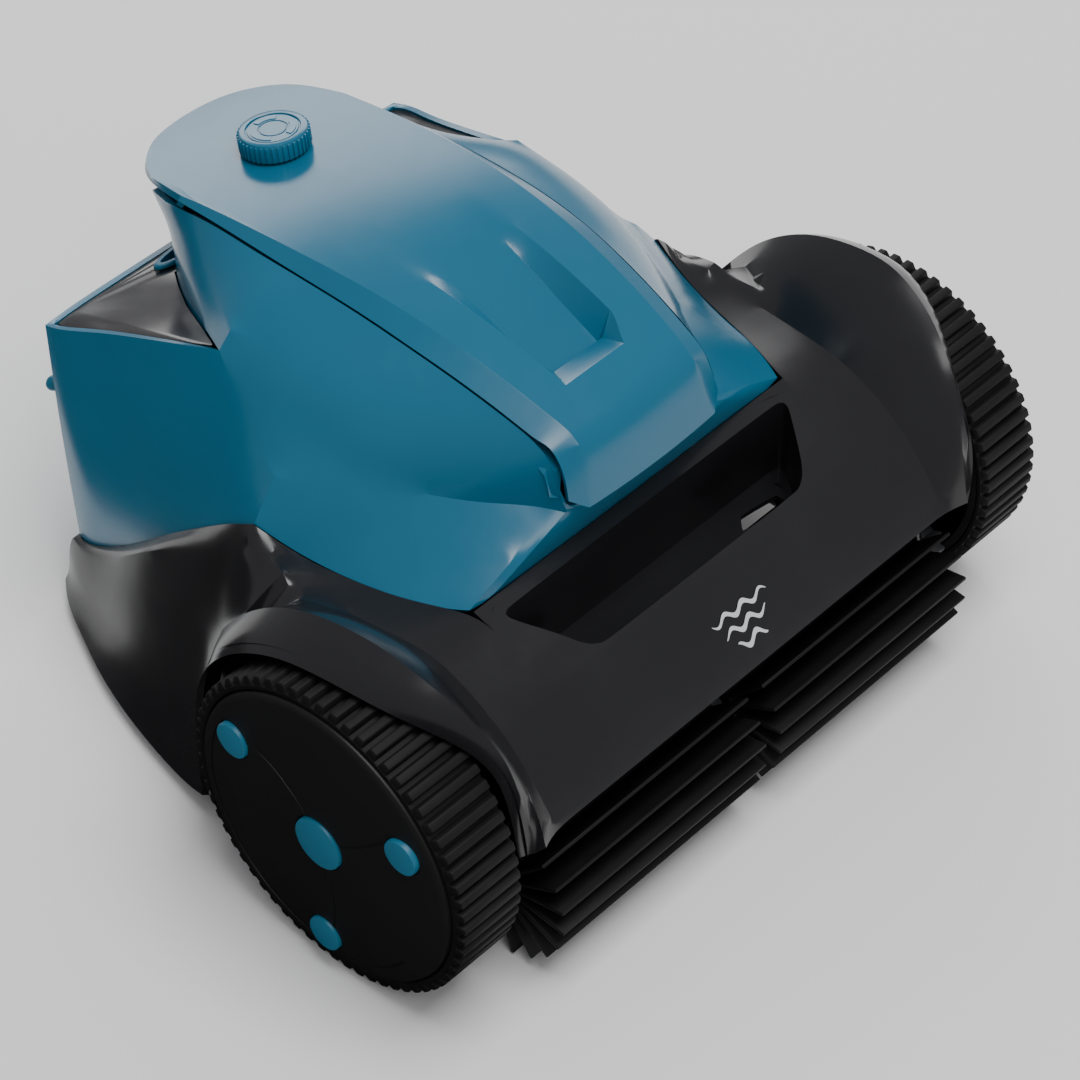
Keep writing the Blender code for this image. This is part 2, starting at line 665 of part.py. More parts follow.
def build_cover(mat):
    """Chassis cover: front deck with its carrying slot, fenders and skirts in one moulding."""
    side, front = cover_patches()
    patches = [(side, False), (mirrored(side), True), (front, True), (mirrored(front), False)]
    cover = finish("chassis_cover", skin(patches, WALL), mat)
    chord = (front_deck_z(SLOT_BACK[1]) - front_deck_z(SLOT_FRONT[1])) / (SLOT_BACK[1] - SLOT_FRONT[1])
    outline = slot_outline(SLOT_WALL)
    floor = [(x, y, SLOT_FLOOR - SLOT_WALL) for x, y in outline]
    brim = [(x, y, front_deck_z(SLOT_BACK[1]) - 1.7 + chord * (y - SLOT_BACK[1])) for x, y in outline]
    shape(cover, loft([floor, brim]), "UNION")
    shape(cover, prism(slot_outline(0.0), SLOT_FLOOR, 150.0))
    drains = []
    for side in (-1, 1):
        plan = [(side * x, y) for x, y in DRAIN]
        drains.append(prism(rounded(plan, 1.6, 2), SLOT_FLOOR - 6.0, SLOT_FLOOR + 4.0))
    shape(cover, joined(*drains))
    return cover


def deck_edge(y, share):
    """Half width of the rear deck beside the cabin (share 0) or beside the side wall (share 1)."""
    lines = []
    for table, key in ((CABIN_ROWS, 1), (WALL_ROWS, 0)):
        lines.append([SIDE_ROWS[-1][1][:2]] + [row[key] for row in table])
    line = lines[share]
    for (x0, y0), (x1, y1) in zip(line, line[1:]):
        if y0 <= y <= y1:
            return x0 + (x1 - x0) * (y - y0) / (y1 - y0)
    return line[-1][0]


def build_rear_deck(mat):
    """Sloping U-shaped plate between the cabin and the side walls, with the oval outlet hole."""
    outside = [(deck_edge(y, 1) - WALL - 0.7, y) for y in (153.0, 165.0, 190.0, 211.0, 229.0)]
    outside += [(101.6, 236.0), (90.0, 237.8), (60.0, 238.5), (-60.0, 238.5)]
    inside = [(deck_edge(y, 0) + 0.7, y) for y in (153.0, 166.0, 190.0, 208.0)]
    inside += [(49.4, 219.2), (41.2, 222.0), (29.4, 219.0), (19.8, 216.0), (0.0, 214.0)]
    left_out = [(-x, y) for x, y in reversed(outside[:-2])]
    left_in = [(-x, y) for x, y in inside[:-1]]
    plan = outside + left_out + left_in + inside[::-1]
    rings = [[(x, y, deck_z(y) - drop) for x, y in plan] for drop in (3.8, 1.0)]
    deck = finish("rear_deck", loft(rings), mat)
    hole = oval(OUTLET_HALF_L, OUTLET_HALF_W, 40, (0.0, OUTLET_Y))
    shape(deck, prism(hole, 140.0, 180.0))
    return deck


def oval_sweep(profile, count=32):
    """Sweep a closed profile of (growth, rise) points round the outlet, parallel to the deck."""
    rings = []
    for growth, rise in profile:
        plan = oval(OUTLET_HALF_L + growth, OUTLET_HALF_W + growth, count, (0.0, OUTLET_Y))
        rings.append([(x, y, deck_z(y) + rise) for x, y in plan])
    return loft(rings, capped=False)


def build_outlet(rim_mat, dark_mat):
    """Raised oval nozzle, its slotted grille and the duct that comes up from the pump."""
    nozzle = ((-0.4, -5.0), (-0.4, -0.6), (1.8, -0.6), (1.6, 1.2), (0.8, 1.8), (-1.8, 1.8), (-1.8, -5.0))
    finish("outlet_nozzle", oval_sweep(nozzle), rim_mat)
    plan = oval(OUTLET_HALF_L - 2.2, OUTLET_HALF_W - 2.2, 40, (0.0, OUTLET_Y))
    rings = [[(x, y, deck_z(y) - drop) for x, y in plan] for drop in (4.6, 3.2)]
    grille = finish("outlet_grille", loft(rings), dark_mat)
    slots = []
    for i in range(-4, 5):
        reach = 3.2 if abs(i) < 4 else 2.6
        slots.append(box(8.2 * i - 3.1, 8.2 * i + 3.1, OUTLET_Y - reach, OUTLET_Y + reach, 140.0, 180.0))
    shape(grille, joined(*slots))
    outer, inner = [], []
    for share, z in ((0.0, DUCT_Z0), (0.0, DUCT_Z1), (0.62, 143.0), (1.0, None)):
        centre_y = MOTOR_Y + (OUTLET_Y - MOTOR_Y) * share
        for ring, wall in ((outer, 0.0), (inner, 2.0)):
            half_l = DUCT_R + (OUTLET_HALF_L + 1.0 - DUCT_R) * share - wall
            half_w = DUCT_R + (OUTLET_HALF_W + 1.2 - DUCT_R) * share - wall
            plan = oval(half_l, half_w, 24, (0.0, centre_y), 2.0 + 0.3 * share)
            ring.append([(x, y, deck_z(y) - 5.6 if z is None else z) for x, y in plan])
    finish("outlet_duct", loft(outer + inner[::-1], capped=False), dark_mat)


# ---------------------------------------------------------------- chassis
def tray_outline(inset):
    """Plan of the chassis tray, wide between the wheels and narrow between the trailing wheels."""
    wide, narrow = CHEEK_OUT - inset, 100.0 - inset
    half = [(wide, 1.0 + inset), (wide, 104.0 - 0.2 * inset), (122.0 - inset, 140.0 - 0.3 * inset),
            (narrow, 176.0 - 0.3 * inset), (narrow, 224.0 - inset)]
    return half + [(-x, y) for x, y in reversed(half)]


CHEEK = (
    # side plate that carries the axle, the brush and the motor, as y and z
    (1.0, 22.0), (-30.0, 25.0), (-51.0, 30.0), (-54.0, 40.0), (-50.0, 54.0), (-46.0, 78.0), (-36.0, 104.0),
    (-20.0, 122.0), (0.0, 128.0), (20.0, 126.0), (44.0, 116.0), (62.0, 100.0), (72.0, 66.0), (96.0, 60.0),
    (96.0, 22.0),
)


def build_chassis(mat):
    """Chassis tray with side plates, intake throat, front screen, wheel lugs and bolt holes."""
    base = finish("chassis_base", prism(tray_outline(0.0), PAN_Z, PAN_TOP), mat)
    shape(base, prism(tray_outline(PAN_T), PAN_Z + PAN_T, PAN_TOP + 10.0))
    cheeks = [prism(CHEEK, side * CHEEK_IN, side * CHEEK_OUT, "X") for side in (-1, 1)]
    screen = box(-134.0, 134.0, 1.0, 4.0, 60.0, 126.0)
    throat = box(-THROAT_X - 2.4, THROAT_X + 2.4, THROAT_Y0 - 2.4, THROAT_Y1 + 2.4, 23.0, THROAT_TOP)
    lugs = []
    for side in (-1, 1):
        lug = [(REAR_WHEEL_Y + a, b) for a, b in ((-14, 23), (-6, 10), (0, 7.6), (6, 10), (14, 23))]
        lugs.append(prism(lug, side * 95.0, side * 100.0, "X"))
    for solid in (joined(*cheeks), screen, throat, joined(*lugs)):
        shape(base, solid, "UNION")
    shape(base, box(-THROAT_X, THROAT_X, THROAT_Y0, THROAT_Y1, 10.0, 80.0))
    holes = []
    for side in (-1, 1):
        for radius, y, z in (
                (AXLE_R + 0.4, 0.0, AXLE_Z), (5.5, BRUSH_Y, BRUSH_Z), (4.6, PINION_Y, PINION_Z),
                (AXLE_PIN_R + 0.4, REAR_WHEEL_Y, REAR_WHEEL_R)):
            holes.append(rod(radius, side * 90.0, side * 140.0, "X", 24, (y, z)))
    shape(base, joined(*holes))
    drains = [box(side * 68.0, side * 102.0, -2.0, 6.0, 57.0, 80.0) for side in (-1, 1)]
    drains += [box(side * 98.0, side * 131.0, 14.0, 66.0, 10.0, 30.0) for side in (-1, 1)]
    shape(base, joined(*drains))
    heads = [rod(11.6, side * 128.0, side * CHEEK_IN, "X", 20, (0.0, AXLE_Z)) for side in (-1, 1)]
    shape(base, joined(*heads))
    shape(base, joined(*[rod(1.9, 10.0, 30.0, "Z", 16, place) for place in SCREWS]))
    shape(base, joined(*[rod(4.2, 18.0, 24.0, "Z", 24, place) for place in SCREWS]))
    return base


def build_small_fixings(steel, dark, rubber):
    """Base screws, rear axle pins, hinge pin, towing stud and the brush hanger."""
    for number, place in enumerate(SCREWS, 1):
        profile = ((22.2, 0.0), (22.2, 3.4), (22.6, 3.8), (23.6, 3.8), (23.6, 1.5), (31.0, 1.5), (31.0, 0.0))
        finish(f"base_screw_{number}", lathe(profile, 12, "Z"), steel, (*place, 0.0), local=True)
    for name, side in SIDES:
        pin = ((95.2, 0.0), (95.2, AXLE_PIN_R), (115.8, AXLE_PIN_R), (115.8, 4.4), (117.4, 4.0),
               (117.4, 0.0))
        finish(f"rear_axle_{name}", lathe([(side * x, r) for x, r in pin], 12), steel,
               (0.0, REAR_WHEEL_Y, REAR_WHEEL_R), local=True)
    finish("hinge_pin", rod(PIN_R, -21.0, 21.0, "X", 16), steel, (0.0, HINGE_Y, HINGE_Z), local=True)
    stud = ((228.0, 0.0), (228.0, STUD_R), (241.4, STUD_R), (241.4, 4.6), (243.0, 4.2), (243.0, STUD_R),
            (249.6, STUD_R), (250.6, 3.0), (252.6, 3.6), (254.6, 2.9), (255.8, 0.0))
    finish("tow_stud", lathe(stud, 14, "Y"), dark, (STUD_X, 0.0, STUD_Z), local=True)
    outline = ((0.6, 28.0), (0.6, 62.0), (-28.0, 56.0), (-44.0, 50.0), (-51.0, 44.0), (-52.0, 36.0),
               (-46.0, 29.0))
    hanger = finish("brush_hanger", prism(outline, -3.0, 3.0, "X"), rubber)
    shape(hanger, rod(4.6, -12.0, 12.0, "X", 24, (BRUSH_Y, BRUSH_Z)), "UNION")


# ---------------------------------------------------------------- wheels, brushes and drive
def cap_profile(side, radius):
    """Half section of a round cap with a chamfered edge, seated in the wheel's face."""
    seat = CAP_SEAT_X + GAP
    points = ((seat, 0.0), (seat, radius), (CAP_X - 0.8, radius), (CAP_X, radius - 1.0), (CAP_X, 0.0))
    return [(side * x, r) for x, r in points]


def build_wheel(name, side, face_mat, tread_mat, cap_mat, gear_mat, steel):
    """One drive wheel: rim, ribbed tyre, ring gear, hub cap, three small caps and its axle."""
    origin = (0.0, 0.0, AXLE_Z)
    hub = HUB_CAP_R + 0.4
    profile = ((146.4, AXLE_R + 0.4), (146.4, 14.0), (178.6, 15.5), (178.6, 64.0), (149.0, 65.2),
               (149.0, RIM_R), (182.2, RIM_R), (FACE_X, 66.8), (FACE_X + 0.3, DISC_R + 1.0),
               (DISC_X - 0.5, DISC_R - 1.0), (DISC_X, hub), (CAP_SEAT_X, hub), (CAP_SEAT_X, AXLE_R + 0.4))
    turned = lathe([(side * x, r) for x, r in profile], 40)
    rim = finish(f"wheel_rim_{name}", turned, face_mat, origin, local=True)
    seats = []
    for number, degrees in enumerate((29.0, 150.0, 269.0), 1):
        angle = math.radians(degrees)
        y, z = SMALL_CAP_ORBIT * math.cos(angle), SMALL_CAP_ORBIT * math.sin(angle)
        seats.append(rod(SMALL_CAP_R + 0.4, side * CAP_SEAT_X, side * 190.0, "X", 18, (y, z)))
        finish(f"wheel_cap_{name}_{number}", lathe(cap_profile(side, SMALL_CAP_R), 18), cap_mat,
               (0.0, y, AXLE_Z + z), local=True)
    shape(rim, joined(*seats), "DIFFERENCE", origin, True)
    outline = toothed(LUG_COUNT, LUG_ROOT_R, WHEEL_R, 0.42, 0.28)
    hole = circle(RIM_R + 0.4, LUG_COUNT, phase=-0.42 * math.tau / LUG_COUNT)
    tyre = prism(outline, side * TREAD_IN, side * TREAD_OUT, "X", hole)
    finish(f"wheel_tyre_{name}", tyre, tread_mat, origin, local=True)
    ring = gear(WHEEL_TEETH, side * GEAR_IN, side * GEAR_OUT, PINION_ANGLE, AXLE_R + 0.4)
    finish(f"wheel_gear_{name}", ring, gear_mat, origin, local=True)
    finish(f"hub_cap_{name}", lathe(cap_profile(side, HUB_CAP_R), 24), cap_mat, origin, local=True)
    axle = ((129.0, 0.0), (129.0, 11.0), (132.6, 11.0), (132.6, AXLE_R), (180.4, AXLE_R), (180.4, 0.0))
    finish(f"wheel_axle_{name}", lathe([(side * x, r) for x, r in axle], 20), steel, origin, local=True)


def build_drive(name, side, metal, gear_mat):
    """One drive motor and the pinion on its shaft."""
    origin = (0.0, PINION_Y, PINION_Z)
    body = ((70.0, 0.0), (70.0, 12.0), (73.0, 17.0), (128.0, 17.0), (132.5, 14.0), (132.5, 0.0))
    finish(f"drive_motor_{name}", lathe([(side * x, r) for x, r in body], 18), metal, origin, local=True)
    phase = mating_phase(PINION_ANGLE, WHEEL_TEETH, PINION_ANGLE, PINION_TEETH)
    pinion = finish(f"drive_pinion_{name}", gear(PINION_TEETH, side * GEAR_IN, side * GEAR_OUT, phase),
                    gear_mat, origin, local=True)
    shape(pinion, rod(4.0, side * 132.9, side * (GEAR_IN + 2.0), "X", 20), "UNION", origin, True)


def build_brush(name, side, blade_mat, steel, gear_mat):
    """One half of the brush: its bladed sleeve, its shaft and its gear."""
    origin = (0.0, BRUSH_Y, BRUSH_Z)
    sleeve = vanes(BLADE_COUNT, BRUSH_CORE_R, BRUSH_TIP_R, BLADE_T,
                   side * BRUSH_IN, side * BRUSH_OUT, "X", 5.4, BLADE_PHASE)
    finish(f"brush_blades_{name}", sleeve, blade_mat, origin, local=True)
    finish(f"brush_shaft_{name}", rod(5.0, side * 13.0, side * 147.6, "X", 24), steel, origin, local=True)
    direction = math.atan2(BRUSH_Z - AXLE_Z, BRUSH_Y)
    phase = mating_phase(direction, WHEEL_TEETH, PINION_ANGLE, BRUSH_TEETH)
    wheel = gear(BRUSH_TEETH, side * GEAR_IN, side * GEAR_OUT, phase, 5.4)
    finish(f"brush_gear_{name}", wheel, gear_mat, origin, local=True)


def build_rear_wheel(name, side, rubber):
    """One small trailing wheel."""
    profile = ((103.0, 3.0), (103.0, 12.6), (105.4, REAR_WHEEL_R), (112.6, REAR_WHEEL_R), (115.0, 12.6),
               (115.0, 3.0))
    finish(f"rear_wheel_{name}", lathe([(side * x, r) for x, r in profile], 24), rubber,
           (0.0, REAR_WHEEL_Y, REAR_WHEEL_R), local=True)


# ---------------------------------------------------------------- pump, filter and power
def build_pump(metal, dark, steel, rubber):
    """Pump motor can with its cap and gasket, the impeller and its shaft."""
    origin = (0.0, MOTOR_Y, 0.0)
    inner = MOTOR_R - 3.0
    can = ((27.0, 0.0), (27.0, MOTOR_R), (100.0, MOTOR_R), (100.0, inner), (31.0, inner), (31.0, 0.0))
    finish("motor_housing", lathe(can, 24, "Z"), metal, origin, local=True)
    gasket = rod(MOTOR_R - 0.6, 100.3, 101.5, "Z", 20, (0, 0), inner + 0.6)
    finish("housing_gasket", gasket, rubber, origin, local=True)
    cap = ((101.8, 3.6), (101.8, MOTOR_R), (105.4, MOTOR_R), (108.4, 12.0), (108.4, 3.6))
    finish("motor_housing_cap", lathe(cap, 24, "Z"), dark, origin, local=True)
    rotor = ((34.0, 0.0), (34.0, 3.0), (42.0, 3.0), (42.0, 15.0), (88.0, 15.0), (88.0, 3.0), (126.0, 3.0),
             (126.0, 0.0))
    finish("impeller_shaft", lathe(rotor, 16, "Z"), steel, origin, local=True)
    blades = vanes(6, 7.0, DUCT_R - 4.4, 2.6, 0.0, 11.0, "Z", 3.4)
    finish("impeller", blades, dark, (0.0, MOTOR_Y, 112.0), local=True)


def build_power(pack_mat, board_mat):
    """Sealed battery pack and sealed control box on either side of the pump."""
    for name, side, mat in (("battery_pack", -1, pack_mat), ("control_box", 1, board_mat)):
        corners = [(side * x, y) for x, y in ((45.0, 108.0), (94.0, 108.0), (94.0, 204.0), (45.0, 204.0))]
        finish(name, prism(rounded(corners, 6.0, 3), 25.6, 88.0), mat)


def build_filter(frame_mat, mesh_mat, rubber):
    """Filter basket with windows, its fine liner, the seal it stands on and its lifting bail."""
    x, y0, y1, z0, z1 = BASKET_X, BASKET_Y0, BASKET_Y1, BASKET_Z0, BASKET_Z1
    basket = finish("filter_basket", box(-x, x, y0, y1, z0, z1), frame_mat)
    posts = []
    for side in (-1, 1):
        posts.append(box(side * (x - 2.2), side * x, HANDLE_Y - 6.0, HANDLE_Y + 6.0, z1 - 4.0, z1 + 9.0))
    shape(basket, joined(*posts), "UNION")
    shape(basket, box(-x + 2.2, x - 2.2, y0 + 2.2, y1 - 2.2, z0 + 2.2, z1 + 20.0))
    windows = [box(-50.0, 50.0, y, y + 22.0, z0 + 12.0, z1 - 12.0) for y in (37.0, 64.5, 92.0, 119.5)]
    shape(basket, joined(*windows))
    for start in (-24.0, 3.0):
        shape(basket, box(start, start + 21.0, 20.0, 160.0, z0 + 12.0, z1 - 12.0))
    shape(basket, box(-26.0, 26.0, 35.0, 57.0, 40.0, 70.0))
    shape(basket, rod(2.3, -40.0, 40.0, "X", 16, (HANDLE_Y, HANDLE_Z)))
    outside, inside = 2.6, 3.4
    cloth = box(-x + outside, x - outside, y0 + outside, y1 - outside, z0 + outside, z1 - 3.0)
    liner = finish("filter_mesh", cloth, mesh_mat)
    shape(liner, box(-x + inside, x - inside, y0 + inside, y1 - inside, z0 + inside, z1 + 9.0))
    shape(liner, box(-26.0, 26.0, 35.0, 57.0, 40.0, 70.0))
    seal = finish("filter_seal", box(-x + 0.2, x - 0.2, 30.2, 62.2, THROAT_TOP + 0.3, z0 - 0.3), rubber)
    shape(seal, box(-THROAT_X, THROAT_X, THROAT_Y0, THROAT_Y1, 40.0, 70.0))
    bail_outer, bail_inner = 29.6, 26.0
    corners = ((-bail_outer, 92.0), (-bail_outer, 58.0), (bail_outer, 58.0), (bail_outer, 92.0),
               (bail_inner, 92.0), (bail_inner, 62.0), (-bail_inner, 62.0), (-bail_inner, 92.0))
    bar = prism(corners, HANDLE_Z - 1.7, HANDLE_Z + 1.7)
    bail = finish("filter_handle", bar, frame_mat, (0.0, HANDLE_Y, HANDLE_Z))
    pins = [rod(1.9, side * 28.0, side * 32.6, "X", 16, (HANDLE_Y, HANDLE_Z)) for side in (-1, 1)]
    shape(bail, joined(*pins), "UNION")


def build_flap(mat):
    """Intake flap that closes the throat when the pump stops."""
    plate = box(-THROAT_X + 1.0, THROAT_X - 1.0, THROAT_Y0 + 1.2, FLAP_Y + 0.4, FLAP_Z - 1.0, FLAP_Z + 1.0)
    flap = finish("intake_flap", plate, mat, (0.0, FLAP_Y, FLAP_Z))
    shape(flap, rod(1.6, -THROAT_X + 0.4, THROAT_X - 0.4, "X", 16, (FLAP_Y, FLAP_Z)), "UNION")


def build_dial(mat, rubber, steel):
    """Mode dial with a knurled rim, its shaft through the bonnet and the seal below it."""
    outline = toothed(24, DIAL_R - 1.0, DIAL_R, 0.42, 0.2)
    dial = finish("selector_dial", prism(outline, 0.5, DIAL_H), mat, DIAL_SEAT, local=True, tilt=DIAL_TILT)
    shape(dial, rod(DIAL_SHAFT_R + 0.3, -2.0, 5.3, "Z", 24), "DIFFERENCE", DIAL_SEAT, True, DIAL_TILT)
    shaft = rod(DIAL_SHAFT_R, -14.0, 5.0, "Z", 24)
    finish("dial_shaft", shaft, steel, DIAL_SEAT, local=True, tilt=DIAL_TILT)
    seal = rod(8.0, -6.0, -4.4, "Z", 16, (0.0, 0.0), DIAL_SHAFT_R + 0.4)
    finish("dial_seal", seal, rubber, DIAL_SEAT, local=True, tilt=DIAL_TILT)


DIAL_TILT = -math.atan(2.0 * LID_REAR_FALL * (DIAL_Y - LID_PEAK_Y))
DIAL_SEAT = (0.0, DIAL_Y, crest_z(DIAL_Y) + LID_CROWN)

clear_scene()
FRAME = bpy.data.objects.new("frame_origin", None)
bpy.context.scene.collection.objects.link(FRAME)
FRAME.location = (0.0, -BOX_CENTRE_Y * MM, 0.0)

TEAL = material("teal_abs", (0.014, 0.159, 0.262), 0.28)
CAP_TEAL = material("cap_teal_abs", (0.027, 0.191, 0.323), 0.3)
ANTHRACITE = material("anthracite_abs", (0.024, 0.024, 0.026), 0.25)
SATIN = material("satin_black_abs", (0.019, 0.019, 0.019), 0.45)
RUBBER = material("black_rubber", (0.012, 0.012, 0.012), 0.7)
STEEL = material("stainless_steel", (0.55, 0.56, 0.57), 0.3, 1.0)
NYLON = material("dark_nylon", (0.03, 0.03, 0.035), 0.5)
MESH = material("filter_fabric", (0.55, 0.57, 0.58), 0.8)
GREY = material("grey_abs", (0.2, 0.21, 0.22), 0.5)

build_body_shell(TEAL)
build_lid(TEAL)
build_cover(ANTHRACITE)
build_rear_deck(ANTHRACITE)
build_outlet(CAP_TEAL, SATIN)
build_chassis(ANTHRACITE)
build_small_fixings(STEEL, TEAL, NYLON)
for side_name, side_sign in SIDES:
    build_wheel(side_name, side_sign, SATIN, RUBBER, CAP_TEAL, NYLON, STEEL)
    build_drive(side_name, side_sign, STEEL, NYLON)
    build_brush(side_name, side_sign, RUBBER, STEEL, NYLON)
    build_rear_wheel(side_name, side_sign, RUBBER)
build_pump(GREY, SATIN, STEEL, RUBBER)
build_power(GREY, SATIN)
build_filter(GREY, MESH, RUBBER)
build_flap(RUBBER)
build_dial(TEAL, RUBBER, STEEL)
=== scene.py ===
# %% [markdown]
# # A robotic pool cleaner, from engineering parts to a product shot
#
# The machine was first designed as plain engineering parts. They give every size, every joint
# and every place. This lesson dresses them: rounded mouldings, ribbed tyres, a bladed brush, a
# mode dial and the plastics they are made of. Nothing moves from its engineered place.

import json
import math

import bpy
from mathutils import Matrix, Vector


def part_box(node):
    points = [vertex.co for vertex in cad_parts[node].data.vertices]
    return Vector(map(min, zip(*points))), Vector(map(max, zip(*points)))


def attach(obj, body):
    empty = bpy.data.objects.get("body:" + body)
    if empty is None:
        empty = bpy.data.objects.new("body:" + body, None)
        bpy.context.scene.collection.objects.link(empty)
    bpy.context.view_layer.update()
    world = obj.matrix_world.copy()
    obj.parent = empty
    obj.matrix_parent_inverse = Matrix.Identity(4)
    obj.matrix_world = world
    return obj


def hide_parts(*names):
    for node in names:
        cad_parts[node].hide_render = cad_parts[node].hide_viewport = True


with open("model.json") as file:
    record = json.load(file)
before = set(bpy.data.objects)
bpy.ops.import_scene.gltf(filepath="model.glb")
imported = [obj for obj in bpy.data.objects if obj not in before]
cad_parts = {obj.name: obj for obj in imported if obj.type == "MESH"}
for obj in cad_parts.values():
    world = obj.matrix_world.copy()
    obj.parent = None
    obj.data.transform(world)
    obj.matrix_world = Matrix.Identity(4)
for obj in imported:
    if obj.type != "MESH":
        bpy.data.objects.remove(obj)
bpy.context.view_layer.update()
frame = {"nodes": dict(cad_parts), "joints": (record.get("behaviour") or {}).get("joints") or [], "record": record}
nodes = frame["nodes"]
scene = bpy.context.scene
MM = 0.001

# %% [markdown]
# ## Small tools
#
# Blender's modelling operators act on whatever is selected, so one helper selects a single
# piece and nothing else, and two more open and close edit mode. Colours are written as the hex
# values a designer would use. Shaders want them linear, so one function converts them.


# %% Selection, edit mode and colour
def select_only(*pieces):
    """Select these pieces and nothing else."""
    bpy.ops.object.select_all(action="DESELECT")
    for piece in pieces:
        piece.select_set(True)
    bpy.context.view_layer.objects.active = pieces[0]


def open_edit(piece, select="DESELECT"):
    """Edit one piece's mesh, with all or none of it selected."""
    select_only(piece)
    bpy.ops.object.mode_set(mode="EDIT")
    bpy.ops.mesh.select_mode(type="VERT")
    bpy.ops.mesh.select_all(action=select)


def close_edit():
    """Go back to object mode."""
    bpy.ops.object.mode_set(mode="OBJECT")


def linear(hex_colour):
    """A designer's sRGB hex colour as linear RGBA."""
    channels = [int(hex_colour[i:i + 2], 16) / 255.0 for i in (1, 3, 5)]
    values = [c / 12.92 if c <= 0.04045 else ((c + 0.055) / 1.055) ** 2.4 for c in channels]
    return (*values, 1.0)


def add_node(tree, kind, values=None, links=None, **settings):
    """Add one shader node with its settings, its socket values and its incoming links."""
    made = tree.nodes.new(kind)
    for key, value in settings.items():
        setattr(made, key, value)
    for key, value in (values or {}).items():
        made.inputs[key].default_value = value
    for key, socket in (links or {}).items():
        tree.links.new(socket, made.inputs[key])
    return made


# %% [markdown]
# ## The camera and the studio
#
# A long lens from a little above the front corner keeps the shapes calm. The whole machine is
# about 0.38 m wide, and a 124 mm lens from 1.6 m away fills the picture with it. The floor is
# a pale sheet, and three large soft lights stand for a product studio: a wide one overhead, a
# small key light in front on the left, and a panel behind on the right. A black card on the left
# gives the glossy sides something dark to reflect.

# %% Camera
axle = sum((Vector(corner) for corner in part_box("wheel_axle_left")), Vector()) / 2
heading, rise = math.radians(-47.54), math.radians(43.45)
cam_right = Vector((math.cos(heading), math.sin(heading), 0.0))
cam_back = Vector((math.sin(heading) * math.cos(rise), -math.cos(heading) * math.cos(rise), math.sin(rise)))
cam_up = cam_back.cross(cam_right)
WHEEL_R = 75.0 * MM
eye = (cam_right * -0.512 + cam_up * 0.337 + cam_back * 20.955) * WHEEL_R + Vector((0.0, axle.y, axle.z))
camera = bpy.data.objects.new("camera", bpy.data.cameras.new("camera"))
scene.collection.objects.link(camera)
facing = Matrix((cam_right, cam_up, cam_back)).transposed().to_4x4()
facing.translation = eye
camera.matrix_world = facing
camera.data.lens = 123.93
camera.data.sensor_width = 36.0
camera.data.clip_end = 50.0
scene.camera = camera
print("camera stands", round(eye.length, 3), "m from the machine")

# %% Floor and lights
bpy.ops.mesh.primitive_plane_add(size=9.0, location=(0.0, 0.0, 0.0))
floor = bpy.context.active_object
floor.name = "studio_floor"
paper = bpy.data.materials.new("studio_paper")
paper.use_nodes = True
paper.node_tree.nodes["Principled BSDF"].inputs["Base Color"].default_value = linear("#F7F7F6")
paper.node_tree.nodes["Principled BSDF"].inputs["Roughness"].default_value = 0.9
floor.data.materials.append(paper)

world = bpy.data.worlds.new("studio_air")
scene.world = world
world.use_nodes = True
world.node_tree.nodes["Background"].inputs["Color"].default_value = linear("#FBFBFF")
world.node_tree.nodes["Background"].inputs["Strength"].default_value = 0.36
LIGHTS = (
    # name, place, what it points at, width, height, watts
    ("overhead", (0.0, -0.7, 2.6), (0.0, 0.0, 0.0), 1.5, 1.5, 54.0),
    ("key", (-0.9, -1.3, 1.7), (0.0, 0.0, 0.08), 0.6, 0.6, 5.0),
    ("back_panel", (1.3, 1.4, 1.0), (0.0, 0.05, 0.12), 1.8, 0.8, 18.0),
)
for name, place, target, width, height, watts in LIGHTS:
    lamp = bpy.data.lights.new(name, "AREA")
    lamp.shape = "RECTANGLE"
    lamp.size, lamp.size_y, lamp.energy = width, height, watts
    holder = bpy.data.objects.new(name, lamp)
    scene.collection.objects.link(holder)
    holder.location = place
    holder.rotation_euler = (Vector(target) - Vector(place)).to_track_quat("-Z", "Y").to_euler()

# A black card lies left of the machine. Only mirror-like reflections see it, so that it keeps
# the pale floor out of the glossy sides without darkening the floor itself.
bpy.ops.mesh.primitive_plane_add(size=3.6, location=(-1.95, 0.3, 0.002))
flag = bpy.context.active_object
flag.name = "black_card"
flag.visible_camera = flag.visible_diffuse = flag.visible_shadow = False
soot = bpy.data.materials.new("black_card")
soot.use_nodes = True
soot.node_tree.nodes["Principled BSDF"].inputs["Base Color"].default_value = linear("#050505")
soot.node_tree.nodes["Principled BSDF"].inputs["Roughness"].default_value = 0.9
flag.data.materials.append(soot)
print("lights:", len(LIGHTS))

# %% [markdown]
# ## Moulded plastics
#
# The shells are injection-moulded ABS. Its index of refraction is about 1.54. A polished tool
# leaves it glossy, with a faint orange-peel ripple a few millimetres long; a spark-eroded tool
# leaves a fine matt grain. Both are made by the same recipe, with a ripple and a grain sized
# in millimetres, a slow drift of colour over the part, and a paler worn line where edges rub.


